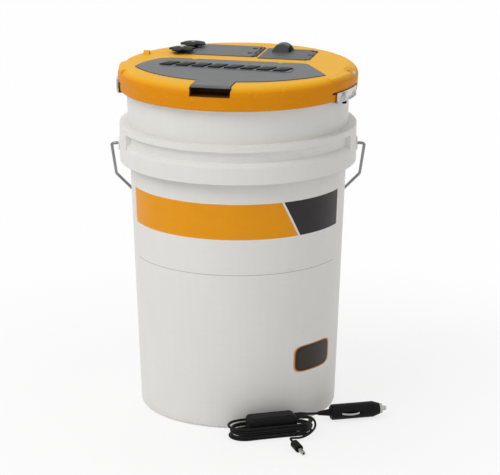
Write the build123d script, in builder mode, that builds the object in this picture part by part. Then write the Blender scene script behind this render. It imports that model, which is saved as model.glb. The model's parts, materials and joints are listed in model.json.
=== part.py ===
from build123d import *
import math
import os

# Aerated bait bucket: a tapered pail with a swing bail, and a lift-off lid that holds
# a bait door, a battery door, a pump door, the air pump and its down-tube. The power
# cord lies on the floor beside it. Millimetres, +Z up, origin on the floor under the
# middle of the pail, lid front towards -Y, screws of the two lid latches on the X axis.

os.makedirs("parts", exist_ok=True)

# ---- Pail ----
pail_height = 437.5
base_radius = 131.0  # outside, at the floor
wall_slope = 0.0365  # outside radius gained per mm of height
pail_wall = 2.3
floor_thickness = 2.6
base_corner = 5.0
bead_proud = 3.43  # of the rim's bead, beyond the wall
bead_height = 6.0
ring_stand = 11.4  # of the upper ring's outside, beyond the wall at its top
ring_wall = 2.5
groove_depth = 6.5
lower_ring_bottom = 336.0
lower_ring_face = 20.4
lower_ring_crown = 7.6
groove_height = 14.0
upper_ring_height = 8.5
ring_rib_count = 24
ring_rib_thickness = 2.0

# ---- Bail ----
ear_turn = 13.0  # the bail's pivots stand turned from the lid's latches, degrees
ear_height = 355.0
ear_block_sweep = 42.0
ear_pad_radius = 9.0
ear_pad_proud = 1.5
wire_radius = 2.0
running_gap = 0.06
bail_leg_stand = 11.1  # of the bail's legs, outside the ring
bail_leg_taper = 2.2
bail_leg_height = 93.0
bail_shoulder_inset = 44.4
bail_height = 198.3
bail_rest = 39.5  # degrees below level, hanging at the back with the grip on the wall
bail_bends = [6.0, 18.0, 85.0]
grip_length = 92.0
grip_radius = 9.5

# ---- Lid ----
lid_top = 462.0
lid_stand = 7.6  # of the lid's skirt, outside the rim's bead
lid_shoulder_width = 14.5
lid_shoulder = 449.5
lid_bottom = 431.0
skirt_draw = 1.2
lid_skin = 3.0
skirt_wall = 2.6
seal_ring_inset = 3.4  # of the ring that carries the gasket, inside the bead
seal_ring_width = 6.6
plug_ring_wall = 2.5
plug_ring_depth = 6.0
gasket_thickness = 2.4
gasket_lift = 0.1  # gasket over the pail's rim
ledge_thickness = 3.1
seat_margin = 3.0  # seat plates reach this far past the doors' pockets

# ---- Doors of the lid ----
door_top = 463.0
door_thickness = 3.8
door_clearance = 0.8
ledge_width = 6.0
ledge_seat_gap = 0.3
barrel_radius = 3.5
pin_radius = 1.5
lug_width = 6.0
lug_gap = 0.4
channel_gap = 0.5
hinge_wall = 3.5  # material round the hinge channels
hinge_floor = 2.2

bait_back = 17.0  # back line of the bait door
bait_left_margin = 45.5  # margins from the edge of the lid's flat
bait_right_margin = 55.5
bait_nose_margin = 17.5
bait_nose_y = -50.0
bait_tail_margin = 16.5
bait_tail_y = -52.0
bait_belly_margin = 22.5
bait_cheek_margin = 26.0
bait_cheek_y = -12.0
bait_lugs = [-62.0, 54.0]
tab_left = -26.5
tab_right = 24.5
tab_margin = 8.5  # from the lid's outside
nameplate_length = 176.0
nameplate_width = 27.0
nameplate_place = (-7.0, -33.0)
nameplate_thickness = 0.6
nameplate_turn = -3.0

battery_left_margin = 44.5
battery_front = 45.0
battery_back_margin = 27.5
battery_hinge_x = 10.5
battery_corner_margin = 9.5
battery_lug_insets = [43.0, 13.0]  # from the door's back edge
battery_windows = [49.0, 17.0]  # openings in the door beside its hinge
battery_window_size = (6.5, 8.0)
battery_window_inset = 9.5
hinge_relief = 0.3  # corners cut back at the ends of the doors' barrels

pump_left = 17.5
pump_front = 38.5
pump_corner_margin = 7.5
pump_hinge_x = 84.0
pump_lug_insets = [36.0, 10.0]

# ---- Finger notch under the bait door's tab ----
notch_floor = 448.5
notch_reach = 4.0  # behind the bait door's belly
notch_wall = 3.0
notch_clearance = 0.9

# ---- Latches ----
latch_pivot_inset = 6.5  # from the lid's outside
latch_start = 3.5  # degrees from the screw towards the front
latch_end = 24.5
latch_gauge = 1.5
latch_stand = 0.4
latch_top = 442.4
latch_foot_z = 429.0
latch_lip_width = 7.3
latch_flange_width = 8.8
latch_eye_radius = 4.3
latch_slot_gap = 0.5
latch_screw_radius = 2.5
latch_head_radius = 5.2
latch_head_height = 2.6
latch_seat = 455.0
latch_nut_radius = 3.1
nub_radius = 3.2
nub_height = 4.6
nub_angle = 15.5
boss_start = 4.0  # the lid's squared shoulder over each latch, degrees from its screw
boss_end = 27.0
boss_inset = 1.5
boss_edge = 2.2
dip_radius = 40.0
dip_stand = 7.0
dip_depth_z = 494.0

# ---- Door knobs ----
knob_front_inset = (9.4, 9.0)  # from the battery door's left and front edges
knob_rear_inset = (14.8, 22.0)  # from its left and back edges
knob_turns = {"front": 0.0, "rear": 18.0}
knob_radius = 17.4
knob_stem_radius = 7.5
knob_under = 466.8
knob_height = 3.6
knob_rim = 1.4
knob_scallops = 5
knob_scallop_radius = 6.5
knob_scallop_bite = 3.6
stud_radius = 2.5
stud_bottom = 449.0
stud_socket_gap = 1.2
knob_boss_radius = 7.0

# ---- Pump, battery box and wiring parts under the lid ----
box_wall = 2.0
flange_width = 4.0
flange_thickness = 2.0
battery_box_left_inset = 29.0  # from the battery door's edges
battery_box_right = 2.0
battery_box_front_inset = 5.5
battery_box_back_inset = 5.5
battery_box_bottom = 420.0
pump_pot_left = 22.0
pump_pot_right_inset = 8.0
pump_pot_front_inset = 5.5
pump_pot_back_inset = 4.5
pump_pot_bottom = 398.0
switch_place = (64.0, 18.0)  # x, and from the pump door's back edge
pump_axis = (55.0, 64.5)
motor_radius = 12.2
motor_length = 26.0
head_size = 27.0
pad_thickness = 2.0
cover_height = 5.0
valve_plate_height = 2.4
diaphragm_height = 2.0
head_frame_height = 12.6
nipple_radius = 2.6
nipple_length = 12.0
shaft_radius = 1.0
hub_radius = 5.0
hub_height = 5.0
crank_throw = 2.0
tube_radius = 4.2
stone_radius = 11.0
stone_height = 38.0
stone_bottom = 12.0
stone_grip = 8.0
shelf_thickness = 2.0
shelf_top = 453.5

# ---- Hood over the power socket ----
hood_x = 42.0
hood_inset = 27.0  # of its front, from the pump door's back edge
hood_depth = 16.0
hood_radius = 14.2
hood_wall = 2.2
hood_sink = 2.8  # centre of the arch below the door's face
port_left = 8.6  # the arch is cut open beyond this, from its middle
port_z = 466.0
socket_radius = 3.6
port_sill = 0.8
socket_bore_radius = 2.8
socket_pin_radius = 1.0

# ---- Cord set ----
cord_diameter = 3.4
lead_diameter = 3.0
hank_turn = 29.0  # direction of the hank and of the converter box on the floor, degrees
hank_center = (77.14, -134.08)
hank_left = -36.5  # the straight runs lie between these two
hank_right = 35.0
hank_inner = 16.5
hank_pitch = 4.0
hank_layer = 3.9
floor_gap = 0.05
case_left = -34.0
case_right = 31.0
case_width = 28.0
case_height = 27.0
case_wall = 2.0
case_round = 6.0
gland_length = 3.0
gland_radius = 2.9
lead_exit_v = -8.0
lead_exit_z = 22.5
plug_turn = -2.3  # of the vehicle plug, from the hank's direction
plug_axis_z = 11.5
plug_body_radius = 10.5
plug_body_length = 58.0
plug_nose_length = 9.0
plug_nose_radius = 7.5
plug_ring_length = 4.0
plug_ring_radius = 7.0
boot_length = 17.0
boot_radius = 5.0
tip_radius = 3.2
tip_length = 6.0
tip_travel = 3.0
fuse_radius = 3.15
fuse_length = 30.0
contact_height = 4.5
contact_width = 2.4
contact_length = 26.0
contact_gauge = 0.8
contact_travel = 3.0
jack_body_radius = 5.5
jack_body_length = 18.0
jack_boot_length = 6.0
sleeve_radius = 2.75
sleeve_length = 14.0
sleeve_bore = 1.25
jack_tilt = 4.0
jack_turn = -85.7  # of the barrel plug, from the hank's direction


def keep(piece, name):
    piece.part.label = name
    export_step(piece.part, f"parts/{name}.step")


def wall_radius(z):
    return base_radius + wall_slope * z


def polar(radius, degrees, z=0.0):
    a = math.radians(degrees)
    return (radius * math.cos(a), radius * math.sin(a), z)


# ---- Sizes that follow the pail and the lid ----
crown_bottom = lower_ring_bottom + lower_ring_face
groove_bottom = crown_bottom + lower_ring_crown
groove_top = groove_bottom + groove_height
ring_top = groove_top + upper_ring_height
ring_radius = wall_radius(ring_top) + ring_stand
groove_radius = ring_radius - groove_depth
bead_radius = wall_radius(pail_height) + bead_proud

bail_leg_reach = ring_radius + bail_leg_stand
bail_leg_top_reach = bail_leg_reach - bail_leg_taper
bail_shoulder_reach = bail_leg_reach - bail_shoulder_inset

lid_radius = bead_radius + lid_stand
lid_flat_radius = lid_radius - lid_shoulder_width
lid_bottom_radius = lid_radius - skirt_draw
seal_ring_outer = bead_radius - seal_ring_inset
seal_ring_inner = seal_ring_outer - seal_ring_width

bait_left = bait_left_margin - lid_flat_radius
bait_right = lid_flat_radius - bait_right_margin
bait_nose = (bait_nose_margin - lid_flat_radius, bait_nose_y)
bait_tail = (lid_flat_radius - bait_tail_margin, bait_tail_y)
bait_belly = bait_belly_margin - lid_flat_radius
bait_cheek = (bait_cheek_margin - lid_flat_radius, bait_cheek_y)
tab_front = tab_margin - lid_radius
notch_back = bait_belly - notch_reach

battery_left = battery_left_margin - lid_flat_radius
battery_back = lid_flat_radius - battery_back_margin
battery_corner_radius = lid_flat_radius - battery_corner_margin
battery_lugs = [battery_back - inset for inset in battery_lug_insets]
pump_back = math.sqrt((lid_flat_radius - pump_corner_margin) ** 2 - pump_hinge_x**2)
pump_lugs = [pump_back - inset for inset in pump_lug_insets]
knob_places = {
    "front": (battery_left + knob_front_inset[0], battery_front + knob_front_inset[1]),
    "rear": (battery_left + knob_rear_inset[0], battery_back - knob_rear_inset[1]),
}
battery_box = (
    battery_left + battery_box_left_inset,
    battery_box_right,
    battery_front + battery_box_front_inset,
    battery_back - battery_box_back_inset,
    battery_box_bottom,
)
pump_pot = (
    pump_pot_left,
    pump_hinge_x - pump_pot_right_inset,
    pump_front + pump_pot_front_inset,
    pump_back - pump_pot_back_inset,
    pump_pot_bottom,
)
hood_front = pump_back - hood_inset
hood_back = hood_front + hood_depth
port_y = (hood_front + hood_back) / 2

latch_pivot = lid_radius - latch_pivot_inset
latch_inner = lid_radius + latch_stand
latch_lip_inner = latch_inner - latch_lip_width
latch_flange_inner = latch_inner - latch_flange_width
dip_reach = lid_radius + dip_stand

# ---- Pail ----
floor_top = floor_thickness
bead_bottom = pail_height - bead_height
skirt_inner = ring_radius - ring_wall
throat_inner = groove_radius - ring_wall
web_bottom = ring_top - ring_wall
bite = 0.4  # how far ribs and webs sink into the wall that they grow from

with BuildPart() as bucket:
    with BuildSketch(Plane.XZ):
        with BuildLine():
            corner_top = wall_radius(base_corner)
            Line((0, 0), (base_radius - base_corner, 0))
            RadiusArc((base_radius - base_corner, 0), (corner_top, base_corner), -base_corner)
            Polyline(
                (corner_top, base_corner),
                (wall_radius(bead_bottom), bead_bottom),
                (bead_radius, bead_bottom),
                (bead_radius, pail_height - 1),
                (bead_radius - 1, pail_height),
                (wall_radius(pail_height) - pail_wall, pail_height),
                (wall_radius(floor_top + base_corner) - pail_wall, floor_top + base_corner),
                (wall_radius(floor_top) - pail_wall - base_corner / 2, floor_top),
                (0, floor_top),
                (0, 0),
            )
        make_face()
    revolve(axis=Axis.Z)
    # The two carrying rings are one moulded skirt that hangs from the upper ring's top.
    with BuildSketch(Plane.XZ):
        with BuildLine():
            Polyline(
                (ring_radius, lower_ring_bottom),
                (skirt_inner, lower_ring_bottom),
                (skirt_inner, crown_bottom - 1),
                (throat_inner, groove_bottom - 1),
                (throat_inner, web_bottom),
                (wall_radius(web_bottom) - bite, web_bottom),
                (wall_radius(ring_top) - bite, ring_top),
                (ring_radius - 1, ring_top),
                (ring_radius, ring_top - 1),
                close=True,
            )
        make_face()
    revolve(axis=Axis.Z)
    # The groove between the rings stops at the two ears, which stay as full blocks.
    for side in (0, 180):
        low = ear_turn + side + ear_block_sweep / 2
        with BuildSketch(
            Plane(origin=(0, 0, 0), x_dir=polar(1, low), z_dir=polar(1, low - 90))
        ):
            with BuildLine():
                Polyline(
                    (ring_radius, crown_bottom),
                    (ring_radius + 3, crown_bottom),
                    (ring_radius + 3, groove_top),
                    (groove_radius, groove_top),
                    (groove_radius, groove_bottom),
                )
                RadiusArc(
                    (groove_radius, groove_bottom),
                    (ring_radius, crown_bottom),
                    0.874 * math.hypot(groove_depth, lower_ring_crown),
                )
            make_face()
        revolve(axis=Axis.Z, revolution_arc=180 - ear_block_sweep, mode=Mode.SUBTRACT)
    with BuildPart(mode=Mode.PRIVATE) as ribs:
        rib_reach = (wall_radius(lower_ring_bottom) + skirt_inner) / 2
        with BuildSketch(Plane.XY.offset(lower_ring_bottom + 4)):
            with PolarLocations(rib_reach, ring_rib_count, start_angle=180 / ring_rib_count):
                Rectangle(2 * (skirt_inner - rib_reach) + 4, ring_rib_thickness)
        extrude(amount=web_bottom + bite - lower_ring_bottom - 4)
        with BuildSketch(Plane.XZ):
            with BuildLine():
                Polyline(
                    (wall_radius(lower_ring_bottom) - bite, lower_ring_bottom),
                    (skirt_inner + bite, lower_ring_bottom),
                    (skirt_inner + bite, crown_bottom - 1),
                    (throat_inner + bite, groove_bottom - 1),
                    (throat_inner + bite, ring_top),
                    (wall_radius(ring_top) - bite, ring_top),
                    close=True,
                )
            make_face()
        revolve(axis=Axis.Z, mode=Mode.INTERSECT)
    add(ribs.part)
    for side in (0, 180):
        ear_angle = ear_turn + side
        ear_plane = Plane(
            origin=polar(throat_inner - 1, ear_angle, ear_height),
            x_dir=polar(1, ear_angle + 90),
            z_dir=polar(1, ear_angle),
        )
        with BuildSketch(ear_plane):
            Circle(ear_pad_radius)
        extrude(amount=ring_radius + ear_pad_proud - throat_inner + 1)
        with BuildSketch(ear_plane):
            Circle(wire_radius + running_gap)
        extrude(amount=ring_radius + ear_pad_proud - throat_inner + 2, mode=Mode.SUBTRACT)
keep(bucket, "bucket")

# ---- Bail ----
ear_dir = Vector(*polar(1, ear_turn))
back_dir = Vector(*polar(1, ear_turn + 90))
rest = math.radians(bail_rest)
hang_dir = back_dir * math.cos(rest) - Vector(0, 0, 1) * math.sin(rest)
bail_plane = Plane(origin=(0, 0, ear_height), x_dir=ear_dir, z_dir=ear_dir.cross(hang_dir))
ear_end = throat_inner + 1.0

bail_half = [
    (ear_end, 0),
    (bail_leg_reach, 0),
    (bail_leg_top_reach, bail_leg_height),
    (bail_shoulder_reach, bail_height),
]
bail_corners = bail_half + [(-u, h) for u, h in reversed(bail_half)]

with BuildPart() as bail_wire:
    with BuildLine(bail_plane) as bail_path:
        FilletPolyline(*bail_corners, radius=bail_bends + bail_bends[::-1])
    with BuildSketch(Plane(origin=bail_path.line @ 0, z_dir=bail_path.line % 0)):
        Circle(wire_radius)
    sweep(path=bail_path.line)
keep(bail_wire, "bail_wire")

grip_plane = Plane(
    origin=bail_plane.from_local_coords((-grip_length / 2, bail_height, 0)),
    x_dir=hang_dir,
    z_dir=ear_dir,
)
with BuildPart() as bail_grip:
    with BuildSketch(Plane(origin=grip_plane.origin, x_dir=ear_dir, z_dir=-grip_plane.y_dir)):
        with BuildLine():
            flange = grip_radius
            waist = grip_radius - 1.6
            Polyline((0, wire_radius + running_gap), (0, flange), (5, flange), (8, waist))
            ThreePointArc(
                (8, waist), (grip_length / 2, grip_radius - 0.6), (grip_length - 8, waist)
            )
            Polyline(
                (grip_length - 8, waist),
                (grip_length - 5, flange),
                (grip_length, flange),
                (grip_length, wire_radius + running_gap),
                (0, wire_radius + running_gap),
            )
        make_face()
    revolve(axis=Axis(grip_plane.origin, ear_dir))
keep(bail_grip, "bail_grip")

# ---- Lid ----
door_bottom = door_top - door_thickness
seat_top = door_bottom - ledge_seat_gap
ledge_bottom = seat_top - ledge_thickness
lid_under = lid_top - lid_skin
pin_z = door_top - barrel_radius
gasket_bottom = pail_height + gasket_lift
gasket_top = gasket_bottom + gasket_thickness
bait_pin_y = bait_back - barrel_radius
block_bottom = latch_top + 0.8


def lid_outline():
    """Half section of the lid's outside, from the axis to the skirt's foot."""
    Line((0, lid_top), (lid_flat_radius, lid_top))
    EllipticalCenterArc(
        (lid_flat_radius, lid_shoulder),
        lid_radius - lid_flat_radius,
        lid_top - lid_shoulder,
        start_angle=0,
        arc_size=90,
    )
    Line((lid_radius, lid_shoulder), (lid_bottom_radius, lid_bottom + 1.5))


def bait_shape(z, grow=0.0):
    """Outline of the bait door at a height, grown by a clearance or shrunk by a ledge."""
    with BuildSketch(Plane.XY.offset(z)) as shape:
        with BuildLine():
            Line((bait_left, bait_back), (bait_right, bait_back))
            Line((bait_right, bait_back), bait_tail)
            ThreePointArc(bait_tail, (0, bait_belly), bait_nose)
            ThreePointArc(bait_nose, bait_cheek, (bait_left, bait_back))
        make_face()
        if grow:
            offset(amount=grow, kind=Kind.INTERSECTION)
    return shape.sketch


def tab_shape(z, grow=0.0):
    with BuildSketch(Plane.XY.offset(z)) as shape:
        with Locations(((tab_left + tab_right) / 2, (tab_front + bait_belly) / 2 + 4)):
            Rectangle(tab_right - tab_left + 2 * grow, bait_belly - tab_front + 8 + 2 * grow)
    return shape.sketch


def battery_shape(z, grow=0.0):
    with BuildSketch(Plane.XY.offset(z)) as shape:
        with Locations(
            (
                (battery_left + battery_hinge_x) / 2,
                (battery_front + battery_back) / 2,
            )
        ):
            Rectangle(
                battery_hinge_x - battery_left + 2 * grow,
                battery_back - battery_front + 2 * grow,
            )
        Circle(battery_corner_radius + grow, mode=Mode.INTERSECT)
        fillet(shape.vertices().group_by(Axis.X)[0], 4)
    return shape.sketch


def pump_shape(z, grow=0.0):
    with BuildSketch(Plane.XY.offset(z)) as shape:
        with Locations(((pump_left + pump_hinge_x) / 2, (pump_front + pump_back) / 2)):
            Rectangle(pump_hinge_x - pump_left + 2 * grow, pump_back - pump_front + 2 * grow)
    return shape.sketch


def block(left, right, front, back, bottom, top):
    """A plain block between six planes, added to the part that is open."""
    with Locations(((left + right) / 2, (front + back) / 2, (bottom + top) / 2)):
        return Box(right - left, back - front, top - bottom, mode=Mode.PRIVATE)


def hinge_rod(axis_name, offset_across, start, end, radius):
    """A rod along a hinge line, from start to end, at the pins' height."""
    if axis_name == "x":
        plane = Plane(origin=(start, offset_across, pin_z), z_dir=(1, 0, 0))
    else:
        plane = Plane(origin=(offset_across, start, pin_z), z_dir=(0, 1, 0))
    with BuildPart(mode=Mode.PRIVATE) as rod:
        with BuildSketch(plane):
            Circle(radius)
        extrude(amount=end - start)
    return rod.part


bait_ends = (bait_left + 2, bait_right - 2)
battery_ends = (battery_front + 2, battery_back - 4)
pump_ends = (pump_front + 3, pump_back - 4)

hinges = [
    ("x", bait_pin_y, bait_ends, bait_lugs),
    ("y", battery_hinge_x, battery_ends, battery_lugs),
    ("y", pump_hinge_x, pump_ends, pump_lugs),
]


def across(axis_name, line, start, end, half, bottom, top):
    """A block that follows a hinge line."""
    if axis_name == "x":
        return block(start, end, line - half, line + half, bottom, top)
    return block(line - half, line + half, start, end, bottom, top)


with BuildPart() as envelope:
    with BuildSketch(Plane.XZ):
        with BuildLine():
            lid_outline()
            Polyline(
                (lid_bottom_radius, lid_bottom + 1.5), (0, lid_bottom + 1.5), (0, lid_top)
            )
        make_face()
    revolve(axis=Axis.Z)
lid_envelope = envelope.part

with BuildPart() as lid_shell:
    with BuildSketch(Plane.XZ):
        with BuildLine():
            lid_outline()
            inner_foot = lid_bottom_radius - skirt_wall
            inner_shoulder = lid_radius - skirt_wall
            Polyline(
                (lid_bottom_radius, lid_bottom + 1.5),
                (lid_bottom_radius - 1.2, lid_bottom),
                (inner_foot, lid_bottom),
                (inner_shoulder, lid_shoulder),
            )
            EllipticalCenterArc(
                (lid_flat_radius, lid_shoulder),
                inner_shoulder - lid_flat_radius,
                lid_under - lid_shoulder,
                start_angle=0,
                arc_size=90,
            )
            Polyline((lid_flat_radius, lid_under), (0, lid_under), (0, lid_top))
        make_face()
    revolve(axis=Axis.Z)
    # Ring that carries the gasket, and the ring that enters the pail's mouth.
    with BuildSketch(Plane.XZ):
        with BuildLine():
            Polyline(
                (seal_ring_inner, lid_under + bite),
                (seal_ring_inner, gasket_top - plug_ring_depth),
                (seal_ring_inner + plug_ring_wall, gasket_top - plug_ring_depth),
                (seal_ring_inner + plug_ring_wall, gasket_top),
                (seal_ring_outer, gasket_top),
                (seal_ring_outer, lid_under - 0.4),
                (lid_flat_radius, lid_under + bite),
                close=True,
            )
        make_face()
    revolve(axis=Axis.Z)
    # Seats of the three doors.
    for door_shape in (bait_shape, battery_shape, pump_shape):
        extrude(door_shape(ledge_bottom, door_clearance + seat_margin), ledge_thickness + 1)
    for axis_name, line, ends, lugs in hinges:
        add(
            across(
                axis_name,
                line,
                ends[0] - hinge_wall,
                ends[1] + hinge_wall,
                barrel_radius + hinge_wall,
                ledge_bottom - hinge_floor,
                lid_under + 1,
            )
        )
    # Walls and floor of the finger notch.
    notch_block = block(
        tab_left - notch_clearance - notch_wall,
        tab_right + notch_clearance + notch_wall,
        -lid_radius,
        bait_belly + 6,
        block_bottom,
        lid_top,
    )
    add(notch_block & lid_envelope)
    # Bosses of the latch screws and of the knob studs.
    for side in (1, -1):
        with BuildPart(mode=Mode.PRIVATE) as boss:
            with BuildSketch(Plane.XY.offset(block_bottom)):
                with BuildLine():
                    low, high = (-29, 14) if side > 0 else (166, 209)
                    r_in = seal_ring_outer - 1
                    Polyline(polar(r_in, low)[:2], polar(lid_radius + 4, low)[:2])
                    CenterArc((0, 0), lid_radius + 4, low, high - low)
                    Line(polar(lid_radius + 4, high)[:2], polar(r_in, high)[:2])
                    CenterArc((0, 0), r_in, low, high - low)
                make_face()
            extrude(amount=lid_top - block_bottom)
        add(boss.part & lid_envelope)
    for side in (1, -1):
        low = -boss_end if side > 0 else 180 + boss_start
        boss_plane = Plane(origin=(0, 0, 0), x_dir=polar(1, low), z_dir=polar(1, low - 90))
        with BuildSketch(boss_plane):
            with BuildLine():
                boss_wall = lid_radius - boss_inset
                Polyline(
                    (lid_flat_radius - 2, block_bottom),
                    (boss_wall, block_bottom),
                    (boss_wall, lid_top - 1.5 * boss_edge),
                    (boss_wall - boss_edge, lid_top - boss_edge / 2),
                    (lid_flat_radius - 2, lid_top),
                    close=True,
                )
            make_face()
        revolve(axis=Axis.Z, revolution_arc=boss_end - boss_start)
    for place in knob_places.values():
        with Locations((*place, ledge_bottom - 5)):
            Cylinder(knob_boss_radius, 12, align=(Align.CENTER, Align.CENTER, Align.CENTER))

    # Pockets, openings and hinge channels.
    for door_shape in (bait_shape, battery_shape, pump_shape):
        extrude(door_shape(seat_top, door_clearance), lid_top, mode=Mode.SUBTRACT)
    extrude(tab_shape(seat_top, notch_clearance), lid_top, mode=Mode.SUBTRACT)
    extrude(bait_shape(ledge_bottom - 9, -ledge_width), 20, mode=Mode.SUBTRACT)
    for tray in (battery_box, pump_pot):
        left, right, front, back, bottom = tray
        opening = block(
            left + box_wall,
            right - box_wall,
            front + box_wall,
            back - box_wall,
            ledge_bottom - 9,
            seat_top + 1,
        )
        add(opening, mode=Mode.SUBTRACT)
    for axis_name, line, ends, lugs in hinges:
        channel = across(
            axis_name,
            line,
            ends[0] - channel_gap,
            ends[1] + channel_gap,
            barrel_radius + channel_gap,
            pin_z - barrel_radius - channel_gap,
            lid_top + 9,
        )
        add(channel, mode=Mode.SUBTRACT)
    notch_void = block(
        tab_left - notch_clearance,
        tab_right + notch_clearance,
        -lid_radius - 3,
        notch_back,
        notch_floor,
        lid_top + 9,
    )
    add(notch_void, mode=Mode.SUBTRACT)
    for inset in battery_windows:
        with Locations((battery_hinge_x - battery_window_inset, battery_back - inset, ledge_bottom)):
            Box(*battery_window_size, 8, mode=Mode.SUBTRACT)
    # Lugs that hold the hinge pins.
    for axis_name, line, ends, lugs in hinges:
        for middle in lugs:
            low, high = middle - lug_width / 2, middle + lug_width / 2
            add(hinge_rod(axis_name, line, low, high, barrel_radius - 0.1))
            add(
                across(
                    axis_name,
                    line,
                    low,
                    high,
                    barrel_radius - 0.1,
                    ledge_bottom - hinge_floor,
                    pin_z,
                )
            )
        rod = hinge_rod(axis_name, line, ends[0] - 1, ends[1] + 1, pin_radius)
        add(rod, mode=Mode.SUBTRACT)
    # Dips round the latch screws, the screw holes and the latch slots.
    for side in (1, -1):
        with Locations((side * dip_reach, 0, dip_depth_z)):
            Sphere(dip_radius, mode=Mode.SUBTRACT)
        with Locations((side * latch_pivot, 0, latch_seat)):
            Cylinder(
                latch_head_radius + 0.6,
                20,
                align=(Align.CENTER, Align.CENTER, Align.MIN),
                mode=Mode.SUBTRACT,
            )
            Cylinder(latch_screw_radius, 40, mode=Mode.SUBTRACT)
        low = -latch_end - 2.5 if side > 0 else 180 - 4
        slot_sweep = latch_end + 2.5 + 4
        slot_plane = Plane(
            origin=(0, 0, 0), x_dir=polar(1, low), z_dir=polar(1, low - 90)
        )
        with BuildSketch(slot_plane):
            with Locations((lid_radius - 2, latch_top - latch_gauge / 2)):
                Rectangle(14, latch_gauge + 2 * latch_slot_gap)
        revolve(axis=Axis.Z, revolution_arc=slot_sweep, mode=Mode.SUBTRACT)
    for place in knob_places.values():
        with Locations((*place, ledge_bottom)):
            Cylinder(stud_radius + stud_socket_gap, 40, mode=Mode.SUBTRACT)
    # Small wedge lug at the left edge.
    with BuildSketch(Plane(origin=(-129, 33, 0), x_dir=(0, 1, 0), z_dir=(1, 0, 0))):
        with BuildLine():
            Polyline(
                (-5, lid_under + 1), (5, lid_under + 1), (3.2, lid_top + 4.5),
                (0.5, lid_top + 5.5), (-2.2, lid_top + 4.0), close=True,
            )
        make_face()
    extrude(amount=-8)
keep(lid_shell, "lid_shell")

with BuildPart() as lid_gasket:
    with BuildSketch(Plane.XY.offset(gasket_bottom)):
        Circle(seal_ring_outer - 0.2)
        Circle(seal_ring_inner + plug_ring_wall + 0.3, mode=Mode.SUBTRACT)
    extrude(amount=gasket_thickness)
keep(lid_gasket, "lid_gasket")

for name, (axis_name, line, ends, lugs) in zip(
    ["bait_door_pin", "battery_door_pin", "pump_door_pin"], hinges
):
    with BuildPart() as pin:
        add(hinge_rod(axis_name, line, ends[0] - 0.8, ends[1] + 0.8, pin_radius))
    keep(pin, name)


def cut_hinge(axis_name, line, ends, lugs):
    """Bore and lug notches of a door's barrel, and the corners beyond its two ends."""
    reach = barrel_radius + hinge_relief
    for low, high in ((ends[0] - 20, ends[0]), (ends[1], ends[1] + 20)):
        add(across(axis_name, line, low, high, reach, pin_z - 9, pin_z + 9), mode=Mode.SUBTRACT)
    for middle in lugs:
        low = middle - lug_width / 2 - lug_gap
        high = middle + lug_width / 2 + lug_gap
        gap = across(axis_name, line, low, high, barrel_radius + 0.8, pin_z - 9, pin_z + 9)
        add(gap, mode=Mode.SUBTRACT)
    rod = hinge_rod(axis_name, line, ends[0] - 1, ends[1] + 1, pin_radius + running_gap)
    add(rod, mode=Mode.SUBTRACT)


# ---- Bait door ----
with BuildPart() as bait_door:
    extrude(bait_shape(door_bottom), door_thickness)
    extrude(tab_shape(door_bottom), door_thickness)
    tab_edges = bait_door.edges().filter_by(Axis.X).group_by(Axis.Y)[0]
    fillet(tab_edges.sort_by(Axis.Z)[-1], 2.5)
    behind = block(bait_left - 9, bait_right + 9, bait_pin_y, bait_back + 9, door_bottom - 1, door_top + 1)
    add(behind, mode=Mode.SUBTRACT)
    add(hinge_rod("x", bait_pin_y, *bait_ends, barrel_radius))
    cut_hinge(*hinges[0])
keep(bait_door, "bait_door")

# Plain raised plate in the middle of the bait door, in place of any lettering.
with BuildPart() as bait_door_plate:
    with BuildSketch(Plane.XY.offset(door_top)):
        with Locations(Location((*nameplate_place, 0), (0, 0, nameplate_turn))):
            RectangleRounded(nameplate_length, nameplate_width, 4)
    extrude(amount=nameplate_thickness)
keep(bait_door_plate, "bait_door_plate")

# ---- Battery door, its seal and its two knobs ----
with BuildPart() as battery_door:
    extrude(battery_shape(door_bottom), door_thickness)
    add(hinge_rod("y", battery_hinge_x, *battery_ends, barrel_radius))
    cut_hinge(*hinges[1])
    for place in knob_places.values():
        with Locations((*place, door_bottom)):
            Cylinder(stud_radius, 40, mode=Mode.SUBTRACT)
    for inset in battery_windows:
        with Locations((battery_hinge_x - battery_window_inset, battery_back - inset, door_bottom)):
            Box(*battery_window_size, 20, mode=Mode.SUBTRACT)
keep(battery_door, "battery_door")

knob_bore = stud_radius + running_gap
for name, place in knob_places.items():
    with BuildPart() as knob:
        with BuildSketch(Plane(origin=(*place, 0), x_dir=(1, 0, 0), z_dir=(0, -1, 0))):
            with BuildLine():
                rim_z = knob_under + knob_rim
                Polyline(
                    (knob_bore, door_top + 0.1),
                    (knob_stem_radius, door_top + 0.1),
                    (knob_stem_radius - 1, knob_under),
                    (knob_radius, knob_under),
                    (knob_radius, rim_z),
                )
                ThreePointArc(
                    (knob_radius, rim_z),
                    (knob_radius * 0.55, knob_under + knob_height * 0.82),
                    (knob_bore, knob_under + knob_height),
                )
                Line((knob_bore, knob_under + knob_height), (knob_bore, door_top + 0.1))
            make_face()
        revolve(axis=Axis(place + (0,), (0, 0, 1)))
        with Locations((*place, knob_under)):
            with PolarLocations(
                knob_radius + knob_scallop_radius - knob_scallop_bite,
                knob_scallops,
                start_angle=knob_turns[name],
            ):
                Cylinder(knob_scallop_radius, 30, mode=Mode.SUBTRACT)
    keep(knob, f"knob_{name}")
    with BuildPart() as stud:
        with BuildSketch(Plane.XY.offset(stud_bottom)):
            with Locations(place):
                Circle(stud_radius)
        extrude(amount=knob_under + knob_height - stud_bottom)
        chamfer(stud.edges().sort_by(Axis.Z)[0], 0.8)
    keep(stud, f"knob_{name}_stud")

# ---- Pump door with the hood over the power socket ----
arch_z = door_top - hood_sink


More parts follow.
